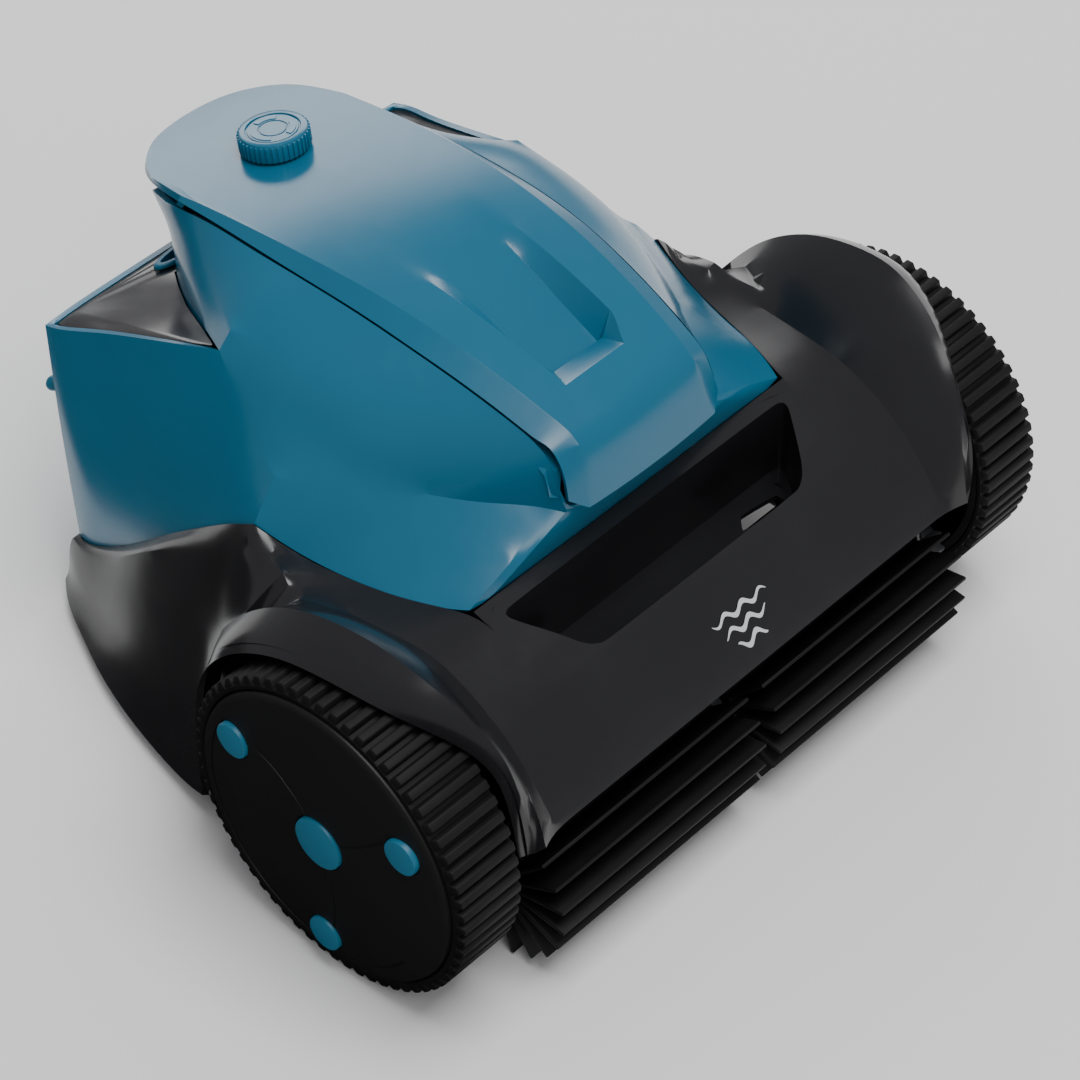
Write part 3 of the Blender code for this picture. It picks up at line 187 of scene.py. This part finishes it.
# %% The recipe for a moulded plastic
def moulded(name, colour, worn, roughness, grain_mm, grain_depth_mm, ior=1.54, peel=0.0, level=0.5):
    """Injection-moulded plastic: colour drift, edge wear, orange peel and tool grain."""
    mat = bpy.data.materials.new(name)
    mat.use_nodes = True
    tree = mat.node_tree
    shader = tree.nodes["Principled BSDF"]
    place = add_node(tree, "ShaderNodeTexCoord").outputs["Object"]
    drift = add_node(tree, "ShaderNodeTexNoise", {"Scale": 1.0 / (55 * MM), "Detail": 3.0}, {"Vector": place})
    tint = add_node(tree, "ShaderNodeMix", {"A": linear(colour), "B": linear(worn)}, data_type="RGBA")
    share = add_node(tree, "ShaderNodeMapRange", {"From Min": 0.35, "From Max": 0.85, "To Max": 0.16},
                     {"Value": drift.outputs["Fac"]})
    tree.links.new(share.outputs["Result"], tint.inputs["Factor"])
    bend = add_node(tree, "ShaderNodeNewGeometry").outputs["Pointiness"]
    rubbed = add_node(tree, "ShaderNodeMapRange", {"From Min": 0.53, "From Max": 0.62, "To Max": 0.4},
                      {"Value": bend})
    edge = add_node(tree, "ShaderNodeMix", {"B": linear(worn)}, {"Factor": rubbed.outputs["Result"]},
                    data_type="RGBA")
    tree.links.new(tint.outputs["Result"], edge.inputs["A"])
    tree.links.new(edge.outputs["Result"], shader.inputs["Base Color"])
    haze = add_node(tree, "ShaderNodeTexNoise", {"Scale": 1.0 / (9 * MM), "Detail": 4.0}, {"Vector": place})
    gloss = add_node(tree, "ShaderNodeMapRange", {"To Min": roughness - 0.03, "To Max": roughness + 0.05},
                     {"Value": haze.outputs["Fac"]})
    tree.links.new(gloss.outputs["Result"], shader.inputs["Roughness"])
    grain = add_node(tree, "ShaderNodeTexNoise", {"Scale": 1.0 / (grain_mm * MM), "Detail": 2.0},
                     {"Vector": place})
    bump = add_node(tree, "ShaderNodeBump", {"Strength": 1.0, "Distance": grain_depth_mm * MM},
                    {"Height": grain.outputs["Fac"]})
    if peel:
        ripple = add_node(tree, "ShaderNodeTexNoise", {"Scale": 1.0 / (3.5 * MM), "Detail": 1.0},
                          {"Vector": place})
        wave = add_node(tree, "ShaderNodeBump", {"Strength": 1.0, "Distance": peel * MM},
                        {"Height": ripple.outputs["Fac"], "Normal": bump.outputs["Normal"]})
        bump = wave
    tree.links.new(bump.outputs["Normal"], shader.inputs["Normal"])
    shader.inputs["IOR"].default_value = ior
    shader.inputs["Specular IOR Level"].default_value = level
    return mat


TEAL = moulded("polished_teal_abs", "#126280", "#2B7C9A", 0.2, 0.5, 0.002, peel=0.004)
CAP_TEAL = moulded("satin_teal_abs", "#1B6885", "#2F7F9C", 0.4, 0.4, 0.006, level=0.35)
ANTHRACITE = moulded("polished_anthracite_abs", "#19191B", "#36363A", 0.19, 0.5, 0.002, peel=0.004)
SATIN = moulded("satin_black_abs", "#19191A", "#2B2B2C", 0.42, 0.4, 0.008, level=0.3)
NYLON = moulded("moulded_dark_nylon", "#303236", "#4A4C50", 0.5, 0.5, 0.01, ior=1.53)
HOUSING = moulded("satin_grey_abs", "#7C8084", "#9CA0A4", 0.42, 0.4, 0.008)
INK = moulded("pad_printed_ink", "#C9CBCD", "#D8DADB", 0.5, 0.3, 0.002, ior=1.5)
print("plastics ready")

# %% [markdown]
# ## Rubber, steel and filter cloth
#
# The tyres and the brush are moulded rubber: dark, dull, with a dusty bloom and a coarse grain.
# The pins and shafts are turned stainless steel, which shows fine rings round its axis. The
# filter liner is woven polyester, a plain weave of threads; the real one is near 0.2 mm between
# threads, too fine to show here, so it is drawn at 0.8 mm.


# %% Rubber
def rubber(name, colour, bloom, roughness, grain_mm):
    """Moulded rubber with a dusty bloom in patches."""
    mat = bpy.data.materials.new(name)
    mat.use_nodes = True
    tree = mat.node_tree
    shader = tree.nodes["Principled BSDF"]
    place = add_node(tree, "ShaderNodeTexCoord").outputs["Object"]
    dust = add_node(tree, "ShaderNodeTexNoise", {"Scale": 1.0 / (14 * MM), "Detail": 5.0}, {"Vector": place})
    share = add_node(tree, "ShaderNodeMapRange", {"From Min": 0.4, "From Max": 0.8, "To Max": 0.35},
                     {"Value": dust.outputs["Fac"]})
    tint = add_node(tree, "ShaderNodeMix", {"A": linear(colour), "B": linear(bloom)},
                    {"Factor": share.outputs["Result"]}, data_type="RGBA")
    tree.links.new(tint.outputs["Result"], shader.inputs["Base Color"])
    grain = add_node(tree, "ShaderNodeTexNoise", {"Scale": 1.0 / (grain_mm * MM), "Detail": 3.0},
                     {"Vector": place})
    bump = add_node(tree, "ShaderNodeBump", {"Strength": 1.0, "Distance": 0.02 * MM},
                    {"Height": grain.outputs["Fac"]})
    tree.links.new(bump.outputs["Normal"], shader.inputs["Normal"])
    shader.inputs["Roughness"].default_value = roughness
    shader.inputs["IOR"].default_value = 1.52
    shader.inputs["Specular IOR Level"].default_value = 0.25
    return mat


TREAD = rubber("moulded_tyre_rubber", "#0E0E0E", "#1C1C1C", 0.66, 0.7)
BRUSH = rubber("moulded_brush_rubber", "#0A0A0B", "#161617", 0.6, 0.8)
SEAL = rubber("moulded_seal_rubber", "#171717", "#262626", 0.65, 0.5)


# %% Turned steel
def turned_steel(name, ring_axis):
    """Stainless steel with the fine rings that a lathe leaves, 0.35 mm apart."""
    mat = bpy.data.materials.new(name)
    mat.use_nodes = True
    tree = mat.node_tree
    shader = tree.nodes["Principled BSDF"]
    place = add_node(tree, "ShaderNodeTexCoord").outputs["Object"]
    rings = add_node(tree, "ShaderNodeTexWave", {"Scale": 1.0 / (0.35 * MM) / 20, "Distortion": 0.4},
                     {"Vector": place}, wave_type="BANDS", bands_direction=ring_axis)
    gloss = add_node(tree, "ShaderNodeMapRange", {"To Min": 0.24, "To Max": 0.36},
                     {"Value": rings.outputs["Fac"]})
    tree.links.new(gloss.outputs["Result"], shader.inputs["Roughness"])
    bump = add_node(tree, "ShaderNodeBump", {"Strength": 0.6, "Distance": 0.01 * MM},
                    {"Height": rings.outputs["Fac"]})
    tree.links.new(bump.outputs["Normal"], shader.inputs["Normal"])
    shader.inputs["Base Color"].default_value = linear("#B9BABC")
    shader.inputs["Metallic"].default_value = 1.0
    return mat


STEEL_X = turned_steel("turned_stainless_steel_across", "X")
STEEL_Z = turned_steel("turned_stainless_steel_upright", "Z")


# %% Filter cloth
def woven(name, colour, gap_shade, spacing_mm):
    """Plain-woven polyester: two sets of threads that cross, with painted shade darker in the gaps between them.
    """
    mat = bpy.data.materials.new(name)
    mat.use_nodes = True
    tree = mat.node_tree
    shader = tree.nodes["Principled BSDF"]
    place = add_node(tree, "ShaderNodeTexCoord").outputs["Object"]
    threads = []
    for direction in ("X", "Y", "Z"):
        wave = add_node(tree, "ShaderNodeTexWave", {"Scale": 1.0 / (spacing_mm * MM) / 20}, {"Vector": place},
                        wave_type="BANDS", bands_direction=direction)
        threads.append(wave.outputs["Fac"])
    pair = add_node(tree, "ShaderNodeMath", None, {0: threads[0], 1: threads[1]}, operation="MAXIMUM")
    weave = add_node(tree, "ShaderNodeMath", None, {0: pair.outputs[0], 1: threads[2]}, operation="MAXIMUM")
    # The gaps between the threads take the darker colour: painted shade.
    tint = add_node(tree, "ShaderNodeMix", {"A": linear(gap_shade), "B": linear(colour)},
                    {"Factor": weave.outputs[0]}, data_type="RGBA")
    tree.links.new(tint.outputs["Result"], shader.inputs["Base Color"])
    bump = add_node(tree, "ShaderNodeBump", {"Strength": 1.0, "Distance": 0.15 * MM},
                    {"Height": weave.outputs[0]})
    tree.links.new(bump.outputs["Normal"], shader.inputs["Normal"])
    shader.inputs["Roughness"].default_value = 0.8
    shader.inputs["Sheen Weight"].default_value = 0.3
    return mat


# 8E9496 is painted shade for the gaps between the threads.
CLOTH = woven("woven_polyester", "#D9DCDD", "#8E9496", 0.8)
print("materials:", len(bpy.data.materials))

# %% [markdown]
# ## Finishing helpers
#
# Every finished piece gets a material and rides on the body of the part it stands for. Edges
# are softened with a small bevel, and then shaded smooth except where the surface really turns a
# corner.

# %% Which finish and which body each part takes
FINISHES = {
    "teal_shell": TEAL, "teal_caps": CAP_TEAL, "anthracite": ANTHRACITE, "satin_black": SATIN,
    "tread": TREAD, "brush": BRUSH, "seal": SEAL, "steel": STEEL_X, "nylon": NYLON, "housing": HOUSING,
    "filter_fabric": CLOTH,
}
slot_of = {entry["node"]: entry["material_slot"] for entry in frame["record"]["subparts"]}
body_of = {node: body for body, members in frame["record"]["behaviour"]["bodies"].items() for node in members}
replaced = set()
print("finishes:", len(FINISHES), "bodies:", len(set(body_of.values())))


# %% Finish, replace and soften
def finish_piece(piece, node, corner=35.0, mat=None):
    """Give a piece its finish and let it stand for a part."""
    select_only(piece)
    bpy.ops.object.shade_smooth_by_angle(angle=math.radians(corner))
    piece.data.materials.clear()
    piece.data.materials.append(mat or FINISHES[slot_of[node]])
    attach(piece, body_of[node])
    if node not in replaced:
        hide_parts(node)
        replaced.add(node)
    return piece


def mark_folds(piece, along, across, rim_share=0.4):
    """Give fold lines a bevel weight: those that run front to back from one angle, others from another."""
    mesh = piece.data
    sides = {}
    for face in mesh.polygons:
        for key in face.edge_keys:
            sides.setdefault(key, []).append(face.normal.copy())
    weights = mesh.attributes.new("bevel_weight_edge", "FLOAT", "EDGE")
    for edge in mesh.edges:
        a, b = sides[edge.key][:2]
        bend = math.degrees(a.angle(b, 0.0))
        run = mesh.vertices[edge.vertices[1]].co - mesh.vertices[edge.vertices[0]].co
        limit = along if abs(run.y) > 0.6 * run.length else across
        weights.data[edge.index].value = 0.0 if bend < limit else rim_share if bend > 62.0 else 1.0


def soften(piece, width_mm, angle=None, segments=2):
    """Round off the corners of a piece with a small bevel, by angle or by the marked folds."""
    select_only(piece)
    rounding = piece.modifiers.new("rounding", "BEVEL")
    rounding.width = width_mm * MM
    rounding.segments = segments
    rounding.limit_method = "WEIGHT" if angle is None else "ANGLE"
    rounding.angle_limit = math.radians(angle or 30.0)
    rounding.miter_outer = "MITER_ARC"
    bpy.ops.object.modifier_apply(modifier=rounding.name)
    return piece


def carve(piece, cutter, operation="DIFFERENCE"):
    """Cut one piece out of another, or weld it on, and throw the cutter away."""
    select_only(piece)
    cut = piece.modifiers.new("carve", "BOOLEAN")
    cut.solver = "EXACT"
    cut.operation = operation
    cut.object = cutter
    bpy.ops.object.modifier_apply(modifier=cut.name)
    bpy.data.objects.remove(cutter, do_unlink=True)
    return piece


def merged_copy(node, name):
    """A part's own mesh as a new piece, with its loose triangles merged into a closed skin."""
    piece = bpy.data.objects.new(name, nodes[node].data.copy())
    scene.collection.objects.link(piece)
    open_edit(piece, "SELECT")
    bpy.ops.mesh.customdata_custom_splitnormals_clear()
    bpy.ops.mesh.remove_doubles(threshold=0.004 * MM)
    bpy.ops.mesh.tris_convert_to_quads(face_threshold=math.radians(35), shape_threshold=math.radians(50))
    close_edit()
    return piece


def subdivided(piece, levels):
    """Smooth a piece with Catmull-Clark subdivision and keep the result."""
    select_only(piece)
    smooth = piece.modifiers.new("smooth", "SUBSURF")
    smooth.levels = smooth.render_levels = levels
    bpy.ops.object.modifier_apply(modifier=smooth.name)
    return piece


# %% [markdown]
# ## The shells
#
# The bonnet, the body shell and the chassis cover are single mouldings with long flowing
# surfaces. Modelling them again from a box would lose the engineered lines, so each one starts
# as a copy of its part. Its corners get a narrow bevel first, which pins the fold lines, and
# then subdivision turns the broad facets into smooth curves.

# %% Bonnet and body shell
for node in ("bonnet_lid", "body_shell"):
    shell = merged_copy(node, f"{node}_moulding")
    mark_folds(shell, 13.0 if node == "bonnet_lid" else 30.0, 32.0)
    soften(shell, 0.7)
    subdivided(shell, 2)
    finish_piece(shell, node, 40.0)
    print(shell.name, len(shell.data.polygons), "faces")

# %% Chassis cover
cover = merged_copy("chassis_cover", "chassis_cover_moulding")
mark_folds(cover, 32.0, 32.0)
soften(cover, 0.7)
subdivided(cover, 2)
finish_piece(cover, "chassis_cover", 40.0)
print(cover.name, len(cover.data.polygons), "faces")

# %% [markdown]
# ## Turned pieces
#
# Wheels, caps, pins and rollers are round, so each is drawn as half of its section and spun
# about its axis, the way a lathe sees it. The section is a chain of points in millimetres:
# how far along the axis, and how far from it.


# %% Spin a half section
def turned(name, section, centre, axis="X", steps=96, turn=math.tau, closed=True):
    """Spin a half section of (along, radius) points about an axis through centre."""
    along = Vector((1, 0, 0)) if axis == "X" else Vector((0, 1, 0)) if axis == "Y" else Vector((0, 0, 1))
    out = Vector((0, 1, 0)) if axis != "Y" else Vector((1, 0, 0))
    points = [centre + along * (a * MM) + out * (r * MM) for a, r in section]
    count = len(points)
    edges = [(i, (i + 1) % count) for i in range(count if closed else count - 1)]
    mesh = bpy.data.meshes.new(name)
    mesh.from_pydata([tuple(p) for p in points], edges, [])
    piece = bpy.data.objects.new(name, mesh)
    scene.collection.objects.link(piece)
    open_edit(piece, "SELECT")
    bpy.ops.mesh.spin(steps=steps, angle=turn, center=centre, axis=along)
    bpy.ops.mesh.select_all(action="SELECT")
    bpy.ops.mesh.remove_doubles(threshold=0.003 * MM)
    if turn < 6.28:
        bpy.ops.mesh.select_all(action="DESELECT")
        bpy.ops.mesh.select_non_manifold()
        bpy.ops.mesh.edge_face_add()
        bpy.ops.mesh.select_all(action="SELECT")
    bpy.ops.mesh.normals_make_consistent(inside=False)
    close_edit()
    return piece


def repeat_round(piece, count, centre, axis):
    """Repeat a piece's mesh round an axis."""
    open_edit(piece, "SELECT")
    bpy.ops.mesh.spin(steps=count - 1, dupli=True, angle=math.tau * (count - 1) / count, center=centre,
                      axis=axis)
    close_edit()
    return piece


def welded(piece, *others):
    """Several pieces as one object."""
    select_only(piece, *others)
    bpy.ops.object.join()
    return piece


# %% [markdown]
# ## The drive wheels
#
# Each wheel face is a shallow dome of satin plastic. A thin groove leaves the hub for each of
# the three small caps, and one long groove follows the rim round the back and the bottom. The
# dome is spun, the cap seats are drilled, and the grooves are cut by a thin swept bar.


# %% The shape of a wheel face
def face_x(radius):
    """How far the wheel face stands out at a radius: flat in the middle, falling to the rim."""
    return 186.8 - 2.4 * (max(0.0, radius - 40.0) / 28.0) ** 2


def wheel_point(side, radius, degrees, along):
    """A point of the wheel, counted in degrees up from the back of the machine."""
    angle = math.radians(degrees)
    return axle_point + Vector((side * along, radius * math.cos(angle), radius * math.sin(angle))) * MM


axle_point = Vector((0.0, axle.y, axle.z))
CAP_ANGLES = (29.0, 150.0, 269.0)
SPIRALS = (((9.0, 62.0), (18.0, 60.0), (26.0, 54.0), (35.0, 49.5), (43.0, 44.5), (47.0, 39.0), (49.0, 32.0)),
           ((9.0, 151.0), (17.0, 150.0), (25.0, 148.5), (35.0, 145.5), (46.0, 143.0)),
           ((9.0, 262.0), (17.0, 262.0), (23.0, 257.5), (30.0, 256.0), (38.0, 259.0), (46.0, 262.0)))
RIM_GROOVE = [(62.0 - (0.09 * (-100.0 - a) if a < -100.0 else 0.0), a) for a in range(24, -141, -4)]
print("grooves on each face:", len(SPIRALS) + 1)


# %% Cut one groove
def groove(side, path, radius_mm, name):
    """A thin bar that follows a path on the wheel face, for cutting a groove."""
    curve = bpy.data.curves.new(name, "CURVE")
    curve.dimensions = "3D"
    curve.bevel_depth = radius_mm * MM
    curve.bevel_resolution = 2
    curve.use_fill_caps = True
    line = curve.splines.new("NURBS")
    line.points.add(len(path) - 1)
    for point, (radius, degrees) in zip(line.points, path):
        point.co = (*wheel_point(side, radius, degrees, face_x(radius) + 0.1), 1.0)
    line.use_endpoint_u = True
    line.order_u = 3
    line.resolution_u = 5
    bar = bpy.data.objects.new(name, curve)
    scene.collection.objects.link(bar)
    select_only(bar)
    bpy.ops.object.convert(target="MESH")
    return bpy.context.active_object


# %% Wheel faces, tyres and caps
FACE = [(r, face_x(r)) for r in (13.4, 18.0, 28.0, 40.0, 46.0, 52.0, 56.0, 59.0, 61.0, 63.0, 65.0, 66.6)]
for name, side in (("left", -1), ("right", 1)):
    section = [(146.4, 6.4), (146.4, 14.0), (178.4, 15.5), (178.4, 64.0), (149.0, 65.2), (149.0, 68.5),
               (182.6, 68.5), (183.7, 68.1)]
    section += [(x, r) for r, x in reversed(FACE)] + [(186.3, 12.8), (182.8, 12.8), (182.8, 6.4)]
    rim = turned(f"wheel_face_{name}", [(side * x, r) for x, r in section], axle_point, "X", 144)
    for degrees in CAP_ANGLES:
        bpy.ops.mesh.primitive_cylinder_add(vertices=48, radius=8.8 * MM, depth=8.0 * MM,
                                            location=wheel_point(side, 53.4, degrees, 186.8),
                                            rotation=(0.0, math.pi / 2, 0.0))
        carve(rim, bpy.context.active_object)
    for number, path in enumerate((*SPIRALS, RIM_GROOVE)):
        carve(rim, groove(side, path, 0.95 if number == 3 else 0.65, f"groove_{number}"))
    finish_piece(rim, f"wheel_rim_{name}", 30.0)
    print(rim.name, len(rim.data.polygons), "faces")

# %% [markdown]
# The tyre is a rubber band with sixty-four lugs across it. One lug is a small block, narrower
# at its tip and rounded along its edges; it is then repeated round the axle.

# %% Tyres
LUG_COUNT = 64
for name, side in (("left", -1), ("right", 1)):
    low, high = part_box(f"wheel_tyre_{name}")
    middle = (low.x + high.x) / 2
    half = (high.x - low.x) / 2 / MM
    band = [(-half + 0.6, 69.0), (-half, 69.6), (-half, 71.2), (-half + 0.8, 71.8), (half - 0.8, 71.8),
            (half, 71.2), (half, 69.6), (half - 0.6, 69.0)]
    tyre = turned(f"tyre_{name}", band, Vector((middle, axle.y, axle.z)), "X", 128)
    bpy.ops.mesh.primitive_cube_add(size=1.0, location=(middle, axle.y, axle.z + 72.9 * MM))
    lug = bpy.context.active_object
    lug.scale = (2 * half * MM, 5.5 * MM, 4.2 * MM)
    bpy.ops.object.transform_apply(location=True, rotation=True, scale=True)
    open_edit(lug)
    close_edit()
    for vert in lug.data.vertices:
        vert.select = vert.co.z > axle.z + 73.0 * MM
    bpy.ops.object.mode_set(mode="EDIT")
    bpy.ops.transform.resize(value=(0.94, 0.66, 1.0), center_override=(middle, axle.y, axle.z + 75.0 * MM))
    close_edit()
    soften(lug, 0.55, 30.0)
    repeat_round(lug, LUG_COUNT, axle_point, (1.0, 0.0, 0.0))
    welded(tyre, lug)
    finish_piece(tyre, f"wheel_tyre_{name}", 40.0)
    print(tyre.name, len(tyre.data.polygons), "faces")

# %% Wheel caps
for name, side in (("left", -1), ("right", 1)):
    spots = [(f"hub_cap_{name}", axle_point, 12.3)]
    spots += [(f"wheel_cap_{name}_{i}", wheel_point(side, 53.4, degrees, 0.0), 8.3)
              for i, degrees in enumerate(CAP_ANGLES, 1)]
    for node, centre, radius in spots:
        section = [(183.2, 0.0), (183.2, radius), (187.0, radius), (187.7, radius - 0.3),
                   (188.0, radius - 1.0), (188.0, 0.0)]
        cap = turned(f"{node}_disc", [(side * x, r) for x, r in section], centre, "X", 64)
        finish_piece(cap, node, 30.0)
print("caps: 8")

# %% [markdown]
# ## The split brush
#
# Each half is a rubber sleeve with twenty-one long fins. A fin is thinner at its tip, so that it
# can flex, and its edges are just rounded. One fin is shaped from a block and repeated.

# %% Brushes
FIN_COUNT = 21
FIN_PHASE = math.radians(-2.7)
for name, side in (("left", -1), ("right", 1)):
    low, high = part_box(f"brush_blades_{name}")
    half = (high.x - low.x) / 2
    shaft_low, shaft_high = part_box(f"brush_shaft_{name}")
    hub = (shaft_low + shaft_high) / 2
    hub.x = 0.0
    centre = hub + Vector(((low.x + high.x) / 2, 0.0, 0.0))
    ends = (-half / MM, half / MM)
    profile = [(ends[0], 5.4), (ends[0], 13.2), (ends[0] + 0.8, 14.0), (ends[1] - 0.8, 14.0),
               (ends[1], 13.2), (ends[1], 5.4)]
    sleeve = turned(f"brush_{name}", profile, centre, "X", 48)
    bpy.ops.mesh.primitive_cube_add(size=1.0, location=(centre.x, hub.y + 26.0 * MM, hub.z))
    fin = bpy.context.active_object
    fin.scale = (2 * half, 26.0 * MM, 2.6 * MM)
    bpy.ops.object.transform_apply(location=True, rotation=True, scale=True)
    open_edit(fin)
    close_edit()
    for vert in fin.data.vertices:
        vert.select = vert.co.y > hub.y + 30.0 * MM
    bpy.ops.object.mode_set(mode="EDIT")
    bpy.ops.transform.resize(value=(1.0, 1.0, 0.6), center_override=(centre.x, hub.y + 39.0 * MM, hub.z))
    close_edit()
    soften(fin, 0.35, 30.0)
    phase_turn = Matrix.Rotation(FIN_PHASE, 4, "X")
    fin.data.transform(Matrix.Translation(hub) @ phase_turn @ Matrix.Translation(-hub))
    repeat_round(fin, FIN_COUNT, hub, (1.0, 0.0, 0.0))
    welded(sleeve, fin)
    finish_piece(sleeve, f"brush_blades_{name}", 35.0)
    print(sleeve.name, len(sleeve.data.polygons), "faces")

# %% [markdown]
# ## The mode dial
#
# The dial is a low knob with a ribbed side. Its face has a flat rim, a groove, and three curved
# bars round a small ring, which stand for its three positions. It is built upright at the
# origin, and then one matrix carries it to its seat on the sloping bonnet.

# %% Dial
dial_joint = next(joint for joint in frame["joints"] if joint["name"] == "dial_turn")
tilt = Vector((0, 0, 1)).rotation_difference(Vector(dial_joint["axis"])).to_matrix().to_4x4()
seat = Matrix.Translation(Vector(dial_joint["pos_m"])) @ tilt
origin = Vector((0.0, 0.0, 0.0))
face = [(0.6, 0.0), (0.6, 14.6), (1.2, 15.1), (8.6, 15.1), (9.3, 14.7), (9.6, 14.0), (9.6, 12.2), (9.4, 11.9),
        (8.9, 11.8), (8.9, 11.2), (9.3, 11.0), (9.3, 6.6), (8.9, 6.4), (8.9, 5.9), (9.3, 5.7), (9.3, 0.0)]
dial = turned("mode_dial", face, origin, "Z", 96)
bpy.ops.mesh.primitive_cube_add(size=1.0, location=(15.1 * MM, 0.0, 4.9 * MM))
rib = bpy.context.active_object
rib.scale = (1.5 * MM, 1.3 * MM, 7.4 * MM)
bpy.ops.object.transform_apply(location=True, rotation=True, scale=True)
soften(rib, 0.35, 30.0)
repeat_round(rib, 40, origin, (0.0, 0.0, 1.0))
marks = []
for number in range(3):
    bar = turned(f"dial_bar_{number}", [(9.2, 7.3), (9.2, 10.1), (9.65, 10.0), (9.65, 7.4)], origin, "Z", 14,
                 math.radians(66.0))
    bar.data.transform(Matrix.Rotation(math.radians(120.0 * number + 12.0), 4, "Z"))
    marks.append(bar)
welded(dial, rib, *marks)
dial.data.transform(seat)
finish_piece(dial, "selector_dial", 30.0)
print(dial.name, len(dial.data.polygons), "faces")

# %% Index mark on the bonnet
bpy.ops.mesh.primitive_cube_add(size=1.0)
index = bpy.context.active_object
index.name = "dial_index_mark"
index.scale = (1.4 * MM, 3.4 * MM, 0.5 * MM)
bpy.ops.object.transform_apply(location=True, rotation=True, scale=True)
soften(index, 0.15, 30.0)
index.data.transform(seat @ Matrix.Translation(Vector((0.0, 18.6, 0.15)) * MM))
select_only(index)
bpy.ops.object.shade_smooth_by_angle(angle=math.radians(30))
index.data.materials.append(SATIN)
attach(index, "bonnet")
print("index mark added")

# %% [markdown]
# ## Small round fittings
#
# The towing stud and the trailing wheels are turned pieces with softened rims.

# %% Trailing wheels and towing stud
for name in ("left", "right"):
    low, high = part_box(f"rear_wheel_{name}")
    centre = (low + high) / 2
    section = [(-6.0, 3.0), (-6.0, 6.0), (-4.6, 6.6), (-4.6, 10.4), (-6.0, 11.2), (-6.0, 12.6), (-4.6, 14.2),
               (-3.0, 15.0), (3.0, 15.0), (4.6, 14.2), (6.0, 12.6), (6.0, 11.2), (4.6, 10.4), (4.6, 6.6),
               (6.0, 6.0), (6.0, 3.0)]
    finish_piece(turned(f"trailing_wheel_{name}", section, centre, "X", 64), f"rear_wheel_{name}", 30.0)
low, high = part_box("tow_stud")
centre = Vector(((low.x + high.x) / 2, high.y, (low.z + high.z) / 2))
section = [(-27.8, 0.0), (-27.8, 2.0), (-14.4, 2.0), (-14.4, 4.6), (-12.8, 4.2), (-12.4, 2.2), (-6.6, 2.0),
           (-5.6, 2.7), (-4.2, 3.4), (-3.0, 3.6), (-1.6, 3.2), (-0.5, 2.0), (0.0, 0.0)]
finish_piece(turned("tow_stud_ball", section, centre, "Y", 48), "tow_stud", 35.0, CAP_TEAL)
print("round fittings ready")

# %% [markdown]
# ## The parts that keep their engineered shape
#
# The outlet, the rear deck, the chassis tray and everything inside are right as they are. They
# only need what a tool would leave: merged skins, a fine rounding on their edges, and their own
# materials. The outlet nozzle and duct are subdivided as well.

# %% Outlet nozzle and duct
for node in ("outlet_nozzle", "outlet_duct"):
    piece = merged_copy(node, f"{node}_moulding")
    soften(piece, 0.3, 30.0)
    subdivided(piece, 1)
    finish_piece(piece, node, 40.0)
print("outlet ready")

# %% Everything else
for node in sorted(nodes):
    if node in replaced:
        continue
    piece = merged_copy(node, f"{node}_finished")
    small = min(nodes[node].dimensions) < 6 * MM
    soften(piece, 0.12 if small else 0.3, 40.0)
    upright = node in ("impeller_shaft", "dial_shaft") or node.startswith("base_screw")
    finish_piece(piece, node, 35.0, STEEL_Z if upright else None)
print("parts finished:", len(replaced), "of", len(nodes))

# %% [markdown]
# ## A printed mark
#
# A plain mark of three waves is printed on the front deck. Each wave is a ribbon drawn along a
# sine line and laid a tenth of a millimetre above the moulding.


# %% Three printed waves
def deck_height(y):
    """Height of the front deck in millimetres, with y counted from the axle."""
    return 137.5 + 0.285 * y + 0.000101 * y ** 3


waves = []
for row, (half_length, across) in enumerate(((17.0, -55.4), (13.0, -59.6), (8.5, -63.8))):
    rim_points = []
    for edge in (-0.75, 0.75):
        line = []
        for k in range(61):
            x = half_length * (k / 30.0 - 1.0)
            taper = math.cos(math.pi * (k / 60.0 - 0.5)) ** 0.5
            y = across + 1.0 * math.sin(x * math.tau / 11.0) + edge * taper
            line.append(Vector((3.5 + x, y, deck_height(y) + 0.06)) * MM + Vector((0.0, axle.y, 0.0)))
        rim_points.append(line)
    mesh = bpy.data.meshes.new(f"wave_{row}")
    faces = [(k, k + 1, 62 + k, 61 + k) for k in range(60)]
    mesh.from_pydata([tuple(p) for p in rim_points[0] + rim_points[1]], [], faces)
    wave = bpy.data.objects.new(f"wave_{row}", mesh)
    scene.collection.objects.link(wave)
    open_edit(wave, "SELECT")
    bpy.ops.mesh.remove_doubles(threshold=0.003 * MM)
    bpy.ops.mesh.extrude_region_move(TRANSFORM_OT_translate={"value": (0.0, -0.03 * MM, 0.06 * MM)})
    bpy.ops.mesh.select_all(action="SELECT")
    bpy.ops.mesh.normals_make_consistent(inside=False)
    close_edit()
    waves.append(wave)
mark = welded(*waves)
mark.name = "printed_waves"
mark.data.materials.append(INK)
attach(mark, "root")
print("mark printed")
